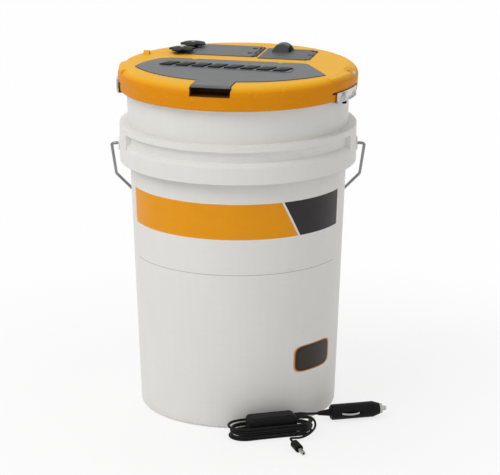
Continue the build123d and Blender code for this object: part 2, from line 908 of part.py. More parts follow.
def arch(radius, back):
    """Section of the hood, seen from the front, standing on the pump door."""
    with BuildSketch(
        Plane(origin=(hood_x, back, 0), x_dir=(1, 0, 0), z_dir=(0, -1, 0))
    ) as shape:
        with Locations((0, arch_z)):
            Circle(radius)
        with Locations((0, arch_z - 20)):
            Rectangle(2 * radius, 40)
        with Locations((0, door_bottom - 50)):
            Rectangle(9 * radius, 100, mode=Mode.SUBTRACT)
    return shape.sketch


with BuildPart() as pump_door:
    extrude(pump_shape(door_bottom), door_thickness)
    add(hinge_rod("y", pump_hinge_x, *pump_ends, barrel_radius))
    extrude(arch(hood_radius, hood_back), hood_back - hood_front)
    extrude(
        arch(hood_radius - hood_wall, hood_back - hood_wall),
        hood_back - hood_front - 2 * hood_wall,
        mode=Mode.SUBTRACT,
    )
    port = block(
        hood_x + port_left,
        hood_x + hood_radius + 5,
        hood_front - 5,
        hood_back - hood_wall,
        door_top + port_sill,
        arch_z + hood_radius + 5,
    )
    add(port, mode=Mode.SUBTRACT)
    cut_hinge(*hinges[2])
keep(pump_door, "pump_door")

# ---- Latches and their screws ----
latch_outer = latch_inner + latch_gauge


def latch_plate(name, side):
    with BuildPart() as plate:
        low = -latch_end if side > 0 else 180 + latch_start
        plane = Plane(origin=(0, 0, 0), x_dir=polar(1, low), z_dir=polar(1, low - 90))
        with BuildSketch(plane):
            with BuildLine():
                Polyline(
                    (latch_flange_inner, latch_top),
                    (latch_outer, latch_top),
                    (latch_outer, latch_foot_z),
                    (latch_lip_inner, latch_foot_z),
                    (latch_lip_inner, latch_foot_z + latch_gauge),
                    (latch_inner, latch_foot_z + latch_gauge),
                    (latch_inner, latch_top - latch_gauge),
                    (latch_flange_inner, latch_top - latch_gauge),
                    close=True,
                )
            make_face()
        revolve(axis=Axis.Z, revolution_arc=latch_end - latch_start)
        arm_low = -latch_start - 0.5 if side > 0 else 180
        arm_plane = Plane(
            origin=(0, 0, 0), x_dir=polar(1, arm_low), z_dir=polar(1, arm_low - 90)
        )
        with BuildSketch(arm_plane):
            with Locations((latch_pivot + 0.7, latch_top - latch_gauge / 2)):
                Rectangle(5.2, latch_gauge)
        revolve(axis=Axis.Z, revolution_arc=latch_start + 0.5)
        with Locations((side * latch_pivot, 0, latch_top - latch_gauge / 2)):
            Cylinder(latch_eye_radius, latch_gauge)
            Cylinder(latch_screw_radius + running_gap, 9, mode=Mode.SUBTRACT)
        nub_x, nub_y, _ = polar((latch_lip_inner + latch_outer) / 2, -nub_angle)
        with Locations((side * nub_x, nub_y, latch_foot_z)):
            Cylinder(nub_radius / 2, 5, mode=Mode.SUBTRACT)
    keep(plate, f"latch_{name}_plate")
    with BuildPart() as nub:
        with Locations((side * nub_x, nub_y, latch_foot_z)):
            Cylinder(nub_radius, nub_height, align=(Align.CENTER, Align.CENTER, Align.MAX))
            Cylinder(nub_radius / 2, latch_gauge, align=(Align.CENTER, Align.CENTER, Align.MIN))
        chamfer(nub.edges().sort_by(Axis.Z)[0], 0.7)
    keep(nub, f"latch_{name}_nub")


latch_plate("right", 1)
latch_plate("left", -1)

with BuildPart() as latch_screws:
    nut_top = latch_top - latch_gauge - 0.3
    for side in (1, -1):
        with Locations((side * latch_pivot, 0, latch_seat)):
            Cylinder(
                latch_head_radius, latch_head_height, align=(Align.CENTER, Align.CENTER, Align.MIN)
            )
            Cylinder(
                latch_screw_radius,
                latch_seat - nut_top + 1,
                align=(Align.CENTER, Align.CENTER, Align.MAX),
            )
        with Locations((side * latch_pivot, 0, nut_top)):
            Cylinder(latch_nut_radius, 2.2, align=(Align.CENTER, Align.CENTER, Align.MAX))
        with Locations((side * latch_pivot, 0, latch_seat + latch_head_height)):
            Box(1.2, 2 * latch_head_radius - 2, 2, mode=Mode.SUBTRACT)
            Box(2 * latch_head_radius - 2, 1.2, 2, mode=Mode.SUBTRACT)
keep(latch_screws, "latch_screws")


# ---- Battery box and pump pot, hung under the door seats ----
def hung_box(tray):
    """An open box with a flange that meets the underside of the door seat."""
    left, right, front, back, bottom = tray
    add(
        block(
            left - flange_width,
            right + flange_width,
            front - flange_width,
            back + flange_width,
            ledge_bottom - flange_thickness,
            ledge_bottom,
        )
    )
    for axis_name, line, ends, lugs in hinges:
        clear = across(
            axis_name,
            line,
            ends[0] - hinge_wall - 0.3,
            ends[1] + hinge_wall + 0.3,
            barrel_radius + hinge_wall + 0.3,
            ledge_bottom - hinge_floor - 1,
            ledge_bottom + 1,
        )
        add(clear, mode=Mode.SUBTRACT)
    add(block(left, right, front, back, bottom, ledge_bottom))
    add(
        block(
            left + box_wall,
            right - box_wall,
            front + box_wall,
            back - box_wall,
            bottom + box_wall,
            ledge_bottom + 1,
        ),
        mode=Mode.SUBTRACT,
    )


with BuildPart() as battery_tray:
    hung_box(battery_box)
keep(battery_tray, "battery_box")

left, right, front, back, bottom = battery_box
contact_z = (bottom + ledge_bottom) / 2
with BuildPart() as battery_contacts:
    for y in (front + 16, back - 16):
        add(
            block(left + box_wall, left + box_wall + 0.6, y - 7, y + 7, contact_z - 8, contact_z + 8)
        )
        add(
            block(
                right - box_wall - 0.6, right - box_wall, y - 7, y + 7, contact_z - 8, contact_z + 8
            )
        )
        with BuildSketch(Plane(origin=(left + box_wall + 0.6, y, contact_z), z_dir=(1, 0, 0))):
            Circle(5.5)
            Circle(4.5, mode=Mode.SUBTRACT)
        with BuildSketch(Plane(origin=(left + box_wall + 6.6, y, contact_z), z_dir=(1, 0, 0))):
            Circle(3.4)
            Circle(2.4, mode=Mode.SUBTRACT)
        loft()
keep(battery_contacts, "battery_contacts")

px, py = pump_axis
pot_left, pot_right, pot_front, pot_back, pot_bottom = pump_pot
pot_floor = pot_bottom + box_wall
with BuildPart() as pump_case:
    hung_box(pump_pot)
    for x, y in (
        (pot_left + 4, pot_front + 4),
        (pot_right - 4, pot_front + 4),
        (pot_left + 4, pot_back - 4),
        (pot_right - 4, pot_back - 4),
    ):
        add(block(x - 3, x + 3, y - 3, y + 3, pot_floor - 1, shelf_top - shelf_thickness))
    with Locations((px, py, pot_bottom)):
        Cylinder(nipple_radius + 0.4, 9, mode=Mode.SUBTRACT)
keep(pump_case, "pump_case")

# ---- Air pump: pad, head cover, valve plate, diaphragm, frame, motor ----
cover_bottom = pot_floor + pad_thickness
valve_bottom = cover_bottom + cover_height
diaphragm_bottom = valve_bottom + valve_plate_height
frame_bottom = diaphragm_bottom + diaphragm_height
motor_bottom = frame_bottom + head_frame_height
hub_bottom = frame_bottom + 5.0

with BuildPart() as pump_pad:
    with BuildSketch(Plane.XY.offset(pot_floor)):
        with Locations((px, py)):
            Circle(head_size / 2)
            Circle(nipple_radius + 1.5, mode=Mode.SUBTRACT)
    extrude(amount=pad_thickness)
keep(pump_pad, "pump_pad")

with BuildPart() as pump_head_cover:
    with BuildSketch(Plane.XY.offset(cover_bottom)):
        with Locations((px, py)):
            RectangleRounded(head_size, head_size, 3)
    extrude(amount=cover_height)
    with Locations((px, py, cover_bottom)):
        Cylinder(nipple_radius, nipple_length, align=(Align.CENTER, Align.CENTER, Align.MAX))
        Cylinder(1.2, 40, mode=Mode.SUBTRACT)
    with Locations((px, py, valve_bottom)):
        Cylinder(9, 3, align=(Align.CENTER, Align.CENTER, Align.MAX), mode=Mode.SUBTRACT)
keep(pump_head_cover, "pump_head_cover")

with BuildPart() as pump_valve_plate:
    with BuildSketch(Plane.XY.offset(valve_bottom)):
        with Locations((px, py)):
            RectangleRounded(head_size, head_size, 3)
            with PolarLocations(6, 3):
                Circle(0.9, mode=Mode.SUBTRACT)
    extrude(amount=valve_plate_height)
keep(pump_valve_plate, "pump_valve_plate")

with BuildPart() as pump_diaphragm:
    with BuildSketch(Plane.XY.offset(diaphragm_bottom)):
        with Locations((px, py)):
            RectangleRounded(head_size, head_size, 3)
    extrude(amount=diaphragm_height)
    with Locations((px, py, frame_bottom)):
        with PolarLocations(6.5, 3):
            Cylinder(3.2, 1.8, align=(Align.CENTER, Align.CENTER, Align.MIN))
keep(pump_diaphragm, "pump_diaphragm")

with BuildPart() as pump_frame:
    with BuildSketch(Plane.XY.offset(frame_bottom)):
        with Locations((px, py)):
            RectangleRounded(head_size, head_size, 3)
            Circle(head_size / 2 - 1.5, mode=Mode.SUBTRACT)
    extrude(amount=head_frame_height - 1.5)
    with BuildSketch(Plane.XY.offset(motor_bottom - 1.5)):
        with Locations((px, py)):
            RectangleRounded(head_size, head_size, 3)
            Circle(hub_radius - 1, mode=Mode.SUBTRACT)
    extrude(amount=1.5)
keep(pump_frame, "pump_frame")

with BuildPart() as pump_swing_plate:
    with BuildSketch(Plane.XY.offset(frame_bottom + 1.9)):
        with Locations((px, py)):
            Circle(10)
            Circle(crank_throw + 1.8, mode=Mode.SUBTRACT)
    extrude(amount=1.8)
keep(pump_swing_plate, "pump_swing_plate")

with BuildPart() as pump_motor:
    with BuildSketch(Plane.XY.offset(motor_bottom)):
        with Locations((px, py)):
            Circle(motor_radius)
            Circle(shaft_radius + running_gap, mode=Mode.SUBTRACT)
    extrude(amount=motor_length)
    for dx in (-7, 7):
        add(
            block(
                px + dx - 1.5,
                px + dx + 1.5,
                py - 0.25,
                py + 0.25,
                motor_bottom + motor_length - 1,
                motor_bottom + motor_length + 1.2,
            )
        )
keep(pump_motor, "pump_motor")

with BuildPart() as motor_shaft:
    with Locations((px, py, hub_bottom + 1)):
        Cylinder(
            shaft_radius,
            motor_bottom + motor_length - 1 - hub_bottom - 1,
            align=(Align.CENTER, Align.CENTER, Align.MIN),
        )
keep(motor_shaft, "motor_shaft")

with BuildPart() as crank_hub:
    with Locations((px, py, hub_bottom)):
        Cylinder(hub_radius, hub_height, align=(Align.CENTER, Align.CENTER, Align.MIN))
    with Locations((px, py, hub_bottom + 1)):
        Cylinder(
            shaft_radius, 20, align=(Align.CENTER, Align.CENTER, Align.MIN), mode=Mode.SUBTRACT
        )
    with Locations((px + crank_throw, py, hub_bottom + 1)):
        Cylinder(0.8, 3.6, align=(Align.CENTER, Align.CENTER, Align.MAX))
keep(crank_hub, "crank_hub")

# ---- Shelf over the pump with the socket tower and the switch ----
shelf_bottom = shelf_top - shelf_thickness
tower_half = hood_depth / 2 - hood_wall - 0.6
tower_right = hood_x + port_left - 3.1
socket_mouth = tower_right + 1.2
switch_x, switch_y = switch_place[0], pump_back - switch_place[1]
with BuildPart() as pump_shelf:
    add(
        block(
            pot_left + box_wall + 0.3,
            pot_right - box_wall - 0.3,
            pot_front + box_wall + 0.3,
            pot_back - box_wall - 0.3,
            shelf_bottom,
            shelf_top,
        )
    )
    tower = block(
        hood_x - 6, tower_right, port_y - tower_half, port_y + tower_half, shelf_bottom, port_z + 4.0
    )
    add(tower)
    fillet(pump_shelf.edges().filter_by(Axis.Y).group_by(Axis.Z)[-1], 2.5)
    with BuildSketch(Plane(origin=(hood_x - 4, port_y, port_z), z_dir=(1, 0, 0))):
        Circle(socket_radius)
    extrude(amount=40, mode=Mode.SUBTRACT)
    add(
        block(switch_x - 6, switch_x + 6, switch_y - 4, switch_y + 4, shelf_bottom - 1, shelf_top + 1),
        mode=Mode.SUBTRACT,
    )
keep(pump_shelf, "pump_shelf")

with BuildPart() as power_socket:
    with BuildSketch(Plane(origin=(hood_x - 4, port_y, port_z), z_dir=(1, 0, 0))):
        Circle(socket_radius)
    extrude(amount=socket_mouth - hood_x + 4)
    with BuildSketch(Plane(origin=(socket_mouth - 10, port_y, port_z), z_dir=(1, 0, 0))):
        Circle(socket_bore_radius)
        Circle(socket_pin_radius, mode=Mode.SUBTRACT)
    extrude(amount=20, mode=Mode.SUBTRACT)
    chamfer(power_socket.edges().sort_by(Axis.X)[-1], 0.4)
keep(power_socket, "power_socket")

with BuildPart() as switch_frame:
    add(block(switch_x - 8, switch_x + 8, switch_y - 5.5, switch_y + 5.5, shelf_top, shelf_top + 1))
    add(block(switch_x - 6, switch_x + 6, switch_y - 4, switch_y + 4, shelf_bottom - 7, shelf_top))
    add(
        block(switch_x - 5, switch_x + 5, switch_y - 3, switch_y + 3, shelf_bottom - 5, shelf_top + 9),
        mode=Mode.SUBTRACT,
    )
keep(switch_frame, "switch_frame")

rocker_pivot = shelf_top - 0.5
with BuildPart() as switch_rocker:
    with BuildSketch(Plane(origin=(switch_x, switch_y + 2.7, 0), x_dir=(1, 0, 0), z_dir=(0, -1, 0))):
        with BuildLine():
            Polyline(
                (-3.6, rocker_pivot - 2.4),
                (3.6, rocker_pivot - 2.4),
                (4.3, rocker_pivot + 0.9),
                (4.3, rocker_pivot + 1.5),
                (0, rocker_pivot + 2.4),
                (-4.2, rocker_pivot + 3.9),
                (-4.3, rocker_pivot + 0.9),
                close=True,
            )
        make_face()
    extrude(amount=5.4)
    with BuildSketch(Plane(origin=(switch_x, switch_y - 2.9, rocker_pivot), z_dir=(0, 1, 0))):
        Circle(1)
    extrude(amount=5.8)
keep(switch_rocker, "switch_rocker")

# ---- Air line ----
tube_top = pot_bottom - 1.0
stone_top = stone_bottom + stone_height
with BuildPart() as air_tube:
    with BuildSketch(Plane.XY.offset(stone_top - stone_grip)):
        with Locations((px, py)):
            Circle(tube_radius)
            Circle(nipple_radius, mode=Mode.SUBTRACT)
    extrude(amount=tube_top - stone_top + stone_grip)
keep(air_tube, "air_tube")

with BuildPart() as air_stone:
    with Locations((px, py, stone_bottom)):
        Cylinder(stone_radius, stone_height, align=(Align.CENTER, Align.CENTER, Align.MIN))
    fillet(air_stone.edges().group_by(Axis.Z)[0], 3)
    fillet(air_stone.edges().group_by(Axis.Z)[-1], 2)
    with Locations((px, py, stone_top)):
        Cylinder(
            tube_radius, stone_grip, align=(Align.CENTER, Align.CENTER, Align.MAX), mode=Mode.SUBTRACT
        )
keep(air_stone, "air_stone")

# ---- Door seal of the battery box ----
left, right, front, back, bottom = battery_box
with BuildPart() as battery_seal:
    with BuildSketch(Plane.XY.offset(seat_top)):
        with Locations(((left + right) / 2, (front + back) / 2)):
            Rectangle(right - left + 2, back - front + 2)
            Rectangle(right - left - 2 * box_wall + 1, back - front - 2 * box_wall + 1, mode=Mode.SUBTRACT)
    extrude(amount=ledge_seat_gap)
keep(battery_seal, "battery_seal")

# ---- Power cord wound round the converter box, and its lead to the vehicle plug ----
turn = math.radians(hank_turn)
floor_plane = Plane(origin=(*hank_center, 0), x_dir=(math.cos(turn), math.sin(turn), 0))
first_layer = cord_diameter / 2 + floor_gap
hank_front = hank_inner + hank_pitch / 2
layers = [first_layer + i * hank_layer for i in range(5)]
gland_mouth = case_left - gland_length
outer_run = hank_inner + hank_pitch

plug_heading = math.radians(plug_turn)
plug_dir = (math.cos(plug_heading), math.sin(plug_heading), 0)
boot_start = (71.1, 27.8, plug_axis_z)
lead_out = [
    (hank_right, outer_run, layers[4]),
    (hank_right + 10, outer_run, layers[4] - 0.3),
    tuple(boot_start[i] - 12 * plug_dir[i] for i in range(3)),
    boot_start,
]

jack_heading = math.radians(jack_turn)
jack_dip = math.radians(jack_tilt)
jack_dir = (
    math.cos(jack_heading) * math.cos(jack_dip),
    math.sin(jack_heading) * math.cos(jack_dip),
    -math.sin(jack_dip),
)
jack_rear = (
    10.5,
    -54.0,
    jack_body_radius + 0.1 + (jack_boot_length + jack_body_length) * math.sin(jack_dip),
)
lead_mouth = case_right + gland_length
small_lead = [
    (lead_mouth, lead_exit_v, lead_exit_z),
    (lead_mouth + 10, lead_exit_v, lead_exit_z),
    (lead_mouth + 18, lead_exit_v - 6.5, lead_exit_z - 1.7),
    (lead_mouth + 17.5, lead_exit_v - 17, lead_exit_z - 8.5),
    (42.0, -31.5, 7.5),
    (29.5, -33.5, 3.2),
    (17.0, -34.0, 4.4),
    tuple(jack_rear[i] - 10 * jack_dir[i] for i in range(3)),
    jack_rear,
]


def corner_radii(points):
    """Bend radius at each inner point: as large as the shorter run beside it allows."""
    radii = []
    for a, b, c in zip(points, points[1:], points[2:]):
        before, after = Vector(*b) - Vector(*a), Vector(*c) - Vector(*b)
        half_turn = math.radians(before.get_angle(after)) / 2
        radii.append(0.45 * min(before.length, after.length) / math.tan(half_turn))
    return radii


def report_tube(name, piece, path, radius, bends):
    length = path.length
    ratio = piece.part.volume / (math.pi * radius**2 * length)
    print(
        f"{name}: length {length:.1f} mm, least bend {min(bends):.1f} mm, "
        f"volume ratio {ratio:.4f}"
    )


hank_points = []
with BuildPart() as power_cord:
    with BuildLine(floor_plane) as cord_path:
        back_turn = hank_inner / 2
        ThreePointArc(
            (gland_mouth, 0, first_layer),
            (gland_mouth - back_turn, back_turn, first_layer),
            (gland_mouth, hank_inner, first_layer),
        )
        Line((gland_mouth, hank_inner, first_layer), (hank_right, hank_inner, first_layer))
        for k in range(1, 11):
            layer = layers[(k - 1) // 2]
            if k % 2:
                run_before = hank_inner if k % 4 == 1 else outer_run
                reach = (run_before + hank_front) / 2
                ThreePointArc(
                    (hank_right, run_before, layer),
                    (hank_right + reach, (run_before - hank_front) / 2, layer),
                    (hank_right, -hank_front, layer),
                )
                Line((hank_right, -hank_front, layer), (hank_left, -hank_front, layer))
            else:
                run_after = outer_run if k % 4 == 2 else hank_inner
                reach = (run_after + hank_front) / 2
                ThreePointArc(
                    (hank_left, -hank_front, layer),
                    (hank_left - reach, (run_after - hank_front) / 2, layer),
                    (hank_left, run_after, layer),
                )
                if k == 10:
                    Line((hank_left, run_after, layer), (hank_right, run_after, layer))
                else:
                    middle = (
                        (hank_left + hank_right) / 2,
                        run_after,
                        layer + hank_layer / 2,
                    )
                    high = (hank_right, run_after, layer + hank_layer)
                    along = floor_plane.x_dir
                    TangentArc((hank_left, run_after, layer), middle, tangent=along)
                    TangentArc(high, middle, tangent=-along)
        lead_bends = corner_radii(lead_out)
        FilletPolyline(*lead_out, radius=lead_bends)
    cord_wire = Wire(cord_path.edges())
    with BuildSketch(Plane(origin=cord_wire @ 0, z_dir=cord_wire % 0)):
        Circle(cord_diameter / 2)
    sweep(path=cord_wire)
keep(power_cord, "power_cord")
report_tube("power_cord", power_cord, cord_wire, cord_diameter / 2, [back_turn] + lead_bends)

with BuildPart() as jack_lead:
    with BuildLine(floor_plane) as jack_path:
        jack_bends = corner_radii(small_lead)
        FilletPolyline(*small_lead, radius=jack_bends)
    jack_wire = Wire(jack_path.edges())
    with BuildSketch(Plane(origin=jack_wire @ 0, z_dir=jack_wire % 0)):
        Circle(lead_diameter / 2)
    sweep(path=jack_wire)
keep(jack_lead, "jack_lead")
report_tube("jack_lead", jack_lead, jack_wire, lead_diameter / 2, jack_bends)

# Least distance between separate turns of the wound cord, measured on points along it.
count = 1400
samples = [tuple(cord_wire @ (i / count)) for i in range(count + 1)]
skip = int(5 * cord_diameter / (cord_wire.length / count))
least = min(
    math.dist(samples[i], samples[j])
    for i in range(count + 1)
    for j in range(i + skip, count + 1)
)
print(f"power_cord: least gap between turns {least - cord_diameter:.2f} mm")

# ---- Converter box, in two halves ----
split_z = case_height / 2


def case_half(upper):
    with BuildPart() as half:
        with BuildSketch(floor_plane.offset(floor_gap)):
            with Locations(((case_left + case_right) / 2, 0)):
                Rectangle(case_right - case_left, case_width)
        extrude(amount=case_height - floor_gap)
        fillet(half.edges(), case_round)
        with BuildSketch(floor_plane.offset(case_wall + 1)):
            with Locations(((case_left + case_right) / 2, 0)):
                RectangleRounded(
                    case_right - case_left - 2 * case_wall - 4,
                    case_width - 2 * case_wall - 2,
                    2,
                )
        extrude(amount=case_height - 2 * case_wall - 2, mode=Mode.SUBTRACT)
        if upper:
            gland_plane = Plane(
                origin=floor_plane.from_local_coords(
                    (case_right - case_wall - 3, lead_exit_v, lead_exit_z)
                ),
                z_dir=floor_plane.x_dir,
            )
            with BuildSketch(gland_plane):
                Circle(gland_radius)
            extrude(amount=lead_mouth - case_right + case_wall + 3)
        else:
            with BuildSketch(floor_plane.offset(floor_gap)):
                with Locations(((gland_mouth + case_left + 8) / 2, 0)):
                    Rectangle(case_left + 8 - gland_mouth, 7)
            extrude(amount=cord_diameter + 1.6)
        keep_side = Keep.TOP if upper else Keep.BOTTOM
        split(bisect_by=floor_plane.offset(split_z), keep=keep_side)
    return half


keep(case_half(False), "converter_case_lower")
keep(case_half(True), "converter_case_upper")

# ---- Vehicle plug ----
plug_plane = Plane(
    origin=floor_plane.from_local_coords(
        tuple(boot_start[i] + 0.06 * plug_dir[i] for i in range(3))
    ),
    x_dir=(0, 0, 1),
    z_dir=(
        math.cos(turn + plug_heading),
        math.sin(turn + plug_heading),
        0,
    ),
)
plug_side = plug_plane.y_dir
body_start = boot_length
body_end = body_start + plug_body_length
nose_end = body_end + plug_nose_length
ring_end = nose_end + plug_ring_length
fuse_bore = fuse_radius + 0.3
fuse_start = nose_end - fuse_length - tip_travel - 3
contact_start = body_start + 12
contact_floor = plug_body_radius - contact_travel - contact_gauge - 0.6


def along_plug(z):
    return plug_plane.offset(z)


with BuildPart() as vehicle_plug_body:
    with BuildSketch(Plane(origin=plug_plane.origin, x_dir=plug_plane.z_dir, z_dir=plug_side)):
        with BuildLine():
            Polyline(
                (0, 0),
                (0, cord_diameter / 2 + 0.9),
                (boot_length, boot_radius),
                (boot_length, plug_body_radius - 2),
                (boot_length + 2, plug_body_radius),
                (body_end, plug_body_radius),
                (nose_end, plug_nose_radius),
                (nose_end, 0),
                (0, 0),
            )
        make_face()
    revolve(axis=Axis(plug_plane.origin, plug_plane.z_dir))
    with BuildSketch(along_plug(fuse_start)):
        Circle(fuse_bore)
    extrude(amount=nose_end - fuse_start, mode=Mode.SUBTRACT)
    for side in (1, -1):
        with BuildSketch(along_plug(contact_start)):
            with Locations((0, side * (contact_floor + plug_body_radius) / 2)):
                Rectangle(contact_width + 1, plug_body_radius - contact_floor + 4)
        extrude(amount=contact_length + 2, mode=Mode.SUBTRACT)
keep(vehicle_plug_body, "vehicle_plug_body")

with BuildPart() as vehicle_plug_ring:
    with BuildSketch(along_plug(nose_end)):
        Circle(plug_ring_radius)
        Circle(tip_radius + 0.3, mode=Mode.SUBTRACT)
    extrude(amount=plug_ring_length)
    chamfer(vehicle_plug_ring.edges().filter_by(GeomType.CIRCLE).sort_by(
        lambda e: (e.center() - plug_plane.origin).dot(plug_plane.z_dir) + e.radius)[-1], 1.0)
keep(vehicle_plug_ring, "vehicle_plug_ring")

with BuildPart() as vehicle_plug_tip:
    with BuildSketch(along_plug(nose_end - 3)):
        Circle(tip_radius)
    extrude(amount=3 + plug_ring_length + tip_length)
    fillet(
        vehicle_plug_tip.edges().sort_by(
            lambda e: (e.center() - plug_plane.origin).dot(plug_plane.z_dir))[-1],
        2.2,
    )
keep(vehicle_plug_tip, "vehicle_plug_tip")

with BuildPart() as vehicle_plug_fuse:
    with BuildSketch(along_plug(fuse_start)):
        Circle(fuse_radius)
    extrude(amount=fuse_length)
keep(vehicle_plug_fuse, "vehicle_plug_fuse")

for name, side in (("left", 1), ("right", -1)):
    with BuildPart() as contact:
        with BuildSketch(
            Plane(
                origin=plug_plane.origin - plug_plane.x_dir * (contact_width / 2),
                x_dir=plug_plane.z_dir,
                z_dir=plug_plane.x_dir * side,
            )
        ) as profile:
            low = contact_floor + contact_travel + 0.3
            high = plug_body_radius + contact_height
            start = contact_start + 1
            stop = start + contact_length
            mid = (start + stop) / 2
            with BuildLine():
                outer = ThreePointArc((start, low), (mid, high), (stop, low))
                inner = ThreePointArc(
                    (start + contact_gauge, low), (mid, high - contact_gauge), (stop - contact_gauge, low)
                )
                Line((start, low), (start + contact_gauge, low))
                Line((stop - contact_gauge, low), (stop, low))
            make_face()
        extrude(amount=contact_width * side)
    keep(contact, f"vehicle_plug_contact_{name}")

# ---- Barrel plug ----
jack_plane = Plane(
    origin=floor_plane.from_local_coords(jack_rear),
    z_dir=floor_plane.from_local_coords(jack_dir) - floor_plane.origin,
)
with BuildPart() as barrel_plug_body:
    with BuildSketch(Plane(origin=jack_plane.origin, x_dir=jack_plane.z_dir, z_dir=jack_plane.y_dir)):
        with BuildLine():
            Polyline(
                (0, 0),
                (0, lead_diameter / 2 + 0.6),
                (jack_boot_length, lead_diameter / 2 + 1.8),
                (jack_boot_length, jack_body_radius - 1),
                (jack_boot_length + 1, jack_body_radius),
                (jack_boot_length + jack_body_length - 1, jack_body_radius),
                (jack_boot_length + jack_body_length, jack_body_radius - 1),
                (jack_boot_length + jack_body_length, 0),
                (0, 0),
            )
        make_face()
    revolve(axis=Axis(jack_plane.origin, jack_plane.z_dir))
keep(barrel_plug_body, "barrel_plug_body")

with BuildPart() as barrel_plug_sleeve:
    with BuildSketch(jack_plane.offset(jack_boot_length + jack_body_length)):
        Circle(sleeve_radius)
        Circle(sleeve_bore, mode=Mode.SUBTRACT)
    extrude(amount=sleeve_length)
keep(barrel_plug_sleeve, "barrel_plug_sleeve")
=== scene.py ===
import json
import math

import bmesh
import bpy
from mathutils import Matrix, Vector


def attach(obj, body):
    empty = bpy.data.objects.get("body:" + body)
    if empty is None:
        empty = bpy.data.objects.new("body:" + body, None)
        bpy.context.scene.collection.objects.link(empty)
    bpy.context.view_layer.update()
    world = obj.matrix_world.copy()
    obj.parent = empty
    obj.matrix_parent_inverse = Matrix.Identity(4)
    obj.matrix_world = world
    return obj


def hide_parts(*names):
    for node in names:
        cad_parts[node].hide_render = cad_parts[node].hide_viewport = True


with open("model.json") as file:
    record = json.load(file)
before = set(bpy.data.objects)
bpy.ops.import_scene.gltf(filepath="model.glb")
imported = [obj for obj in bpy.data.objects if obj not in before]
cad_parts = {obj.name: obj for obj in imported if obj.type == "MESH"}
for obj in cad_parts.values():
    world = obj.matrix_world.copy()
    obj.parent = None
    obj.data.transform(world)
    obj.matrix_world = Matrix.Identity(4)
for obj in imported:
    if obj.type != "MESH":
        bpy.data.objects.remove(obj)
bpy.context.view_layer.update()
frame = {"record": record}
scene = bpy.context.scene
print("frame loaded")

# shader maths on wrapped sockets


class Val:
    # one socket of a node tree, so that shader maths reads as Python

    def __init__(self, tree, socket):
        self.tree = tree
        self.socket = socket

    def math(self, operation, *others):
        node = self.tree.nodes.new("ShaderNodeMath")
        node.operation = operation
        for i, value in enumerate((self,) + others):
            if isinstance(value, Val):
                self.tree.links.new(value.socket, node.inputs[i])
            else:
                node.inputs[i].default_value = value
        return Val(self.tree, node.outputs[0])

    def __add__(self, other):
        return self.math("ADD", other)

    __radd__ = __add__

    def __sub__(self, other):
        return self.math("SUBTRACT", other)

    def __rsub__(self, other):
        return (self * -1.0) + other

    def __mul__(self, other):
        return self.math("MULTIPLY", other)

    __rmul__ = __mul__

    def __truediv__(self, other):
        return self.math("DIVIDE", other)

    def __gt__(self, other):
        return self.math("GREATER_THAN", other)

    def __lt__(self, other):
        return self.math("LESS_THAN", other)

    def maxWith(self, other):
        return self.math("MAXIMUM", other)

    def absolute(self):
        return self.math("ABSOLUTE")

    def within(self, low, high, soft=0.0):
        # 1 inside low..high, 0 outside, with an edge as wide as soft
        if soft == 0.0:
            return (self > low) * (self < high)
        up = ((self - low) / soft + 0.5).clamp()
        down = ((high - self) / soft + 0.5).clamp()
        return up * down

    def clamp(self):
        return self.math("MAXIMUM", 0.0).math("MINIMUM", 1.0)

    def ramp(self, start, over):
        # 0 up to start, then rising to 1 over that much
        return ((self - start) / over).clamp()


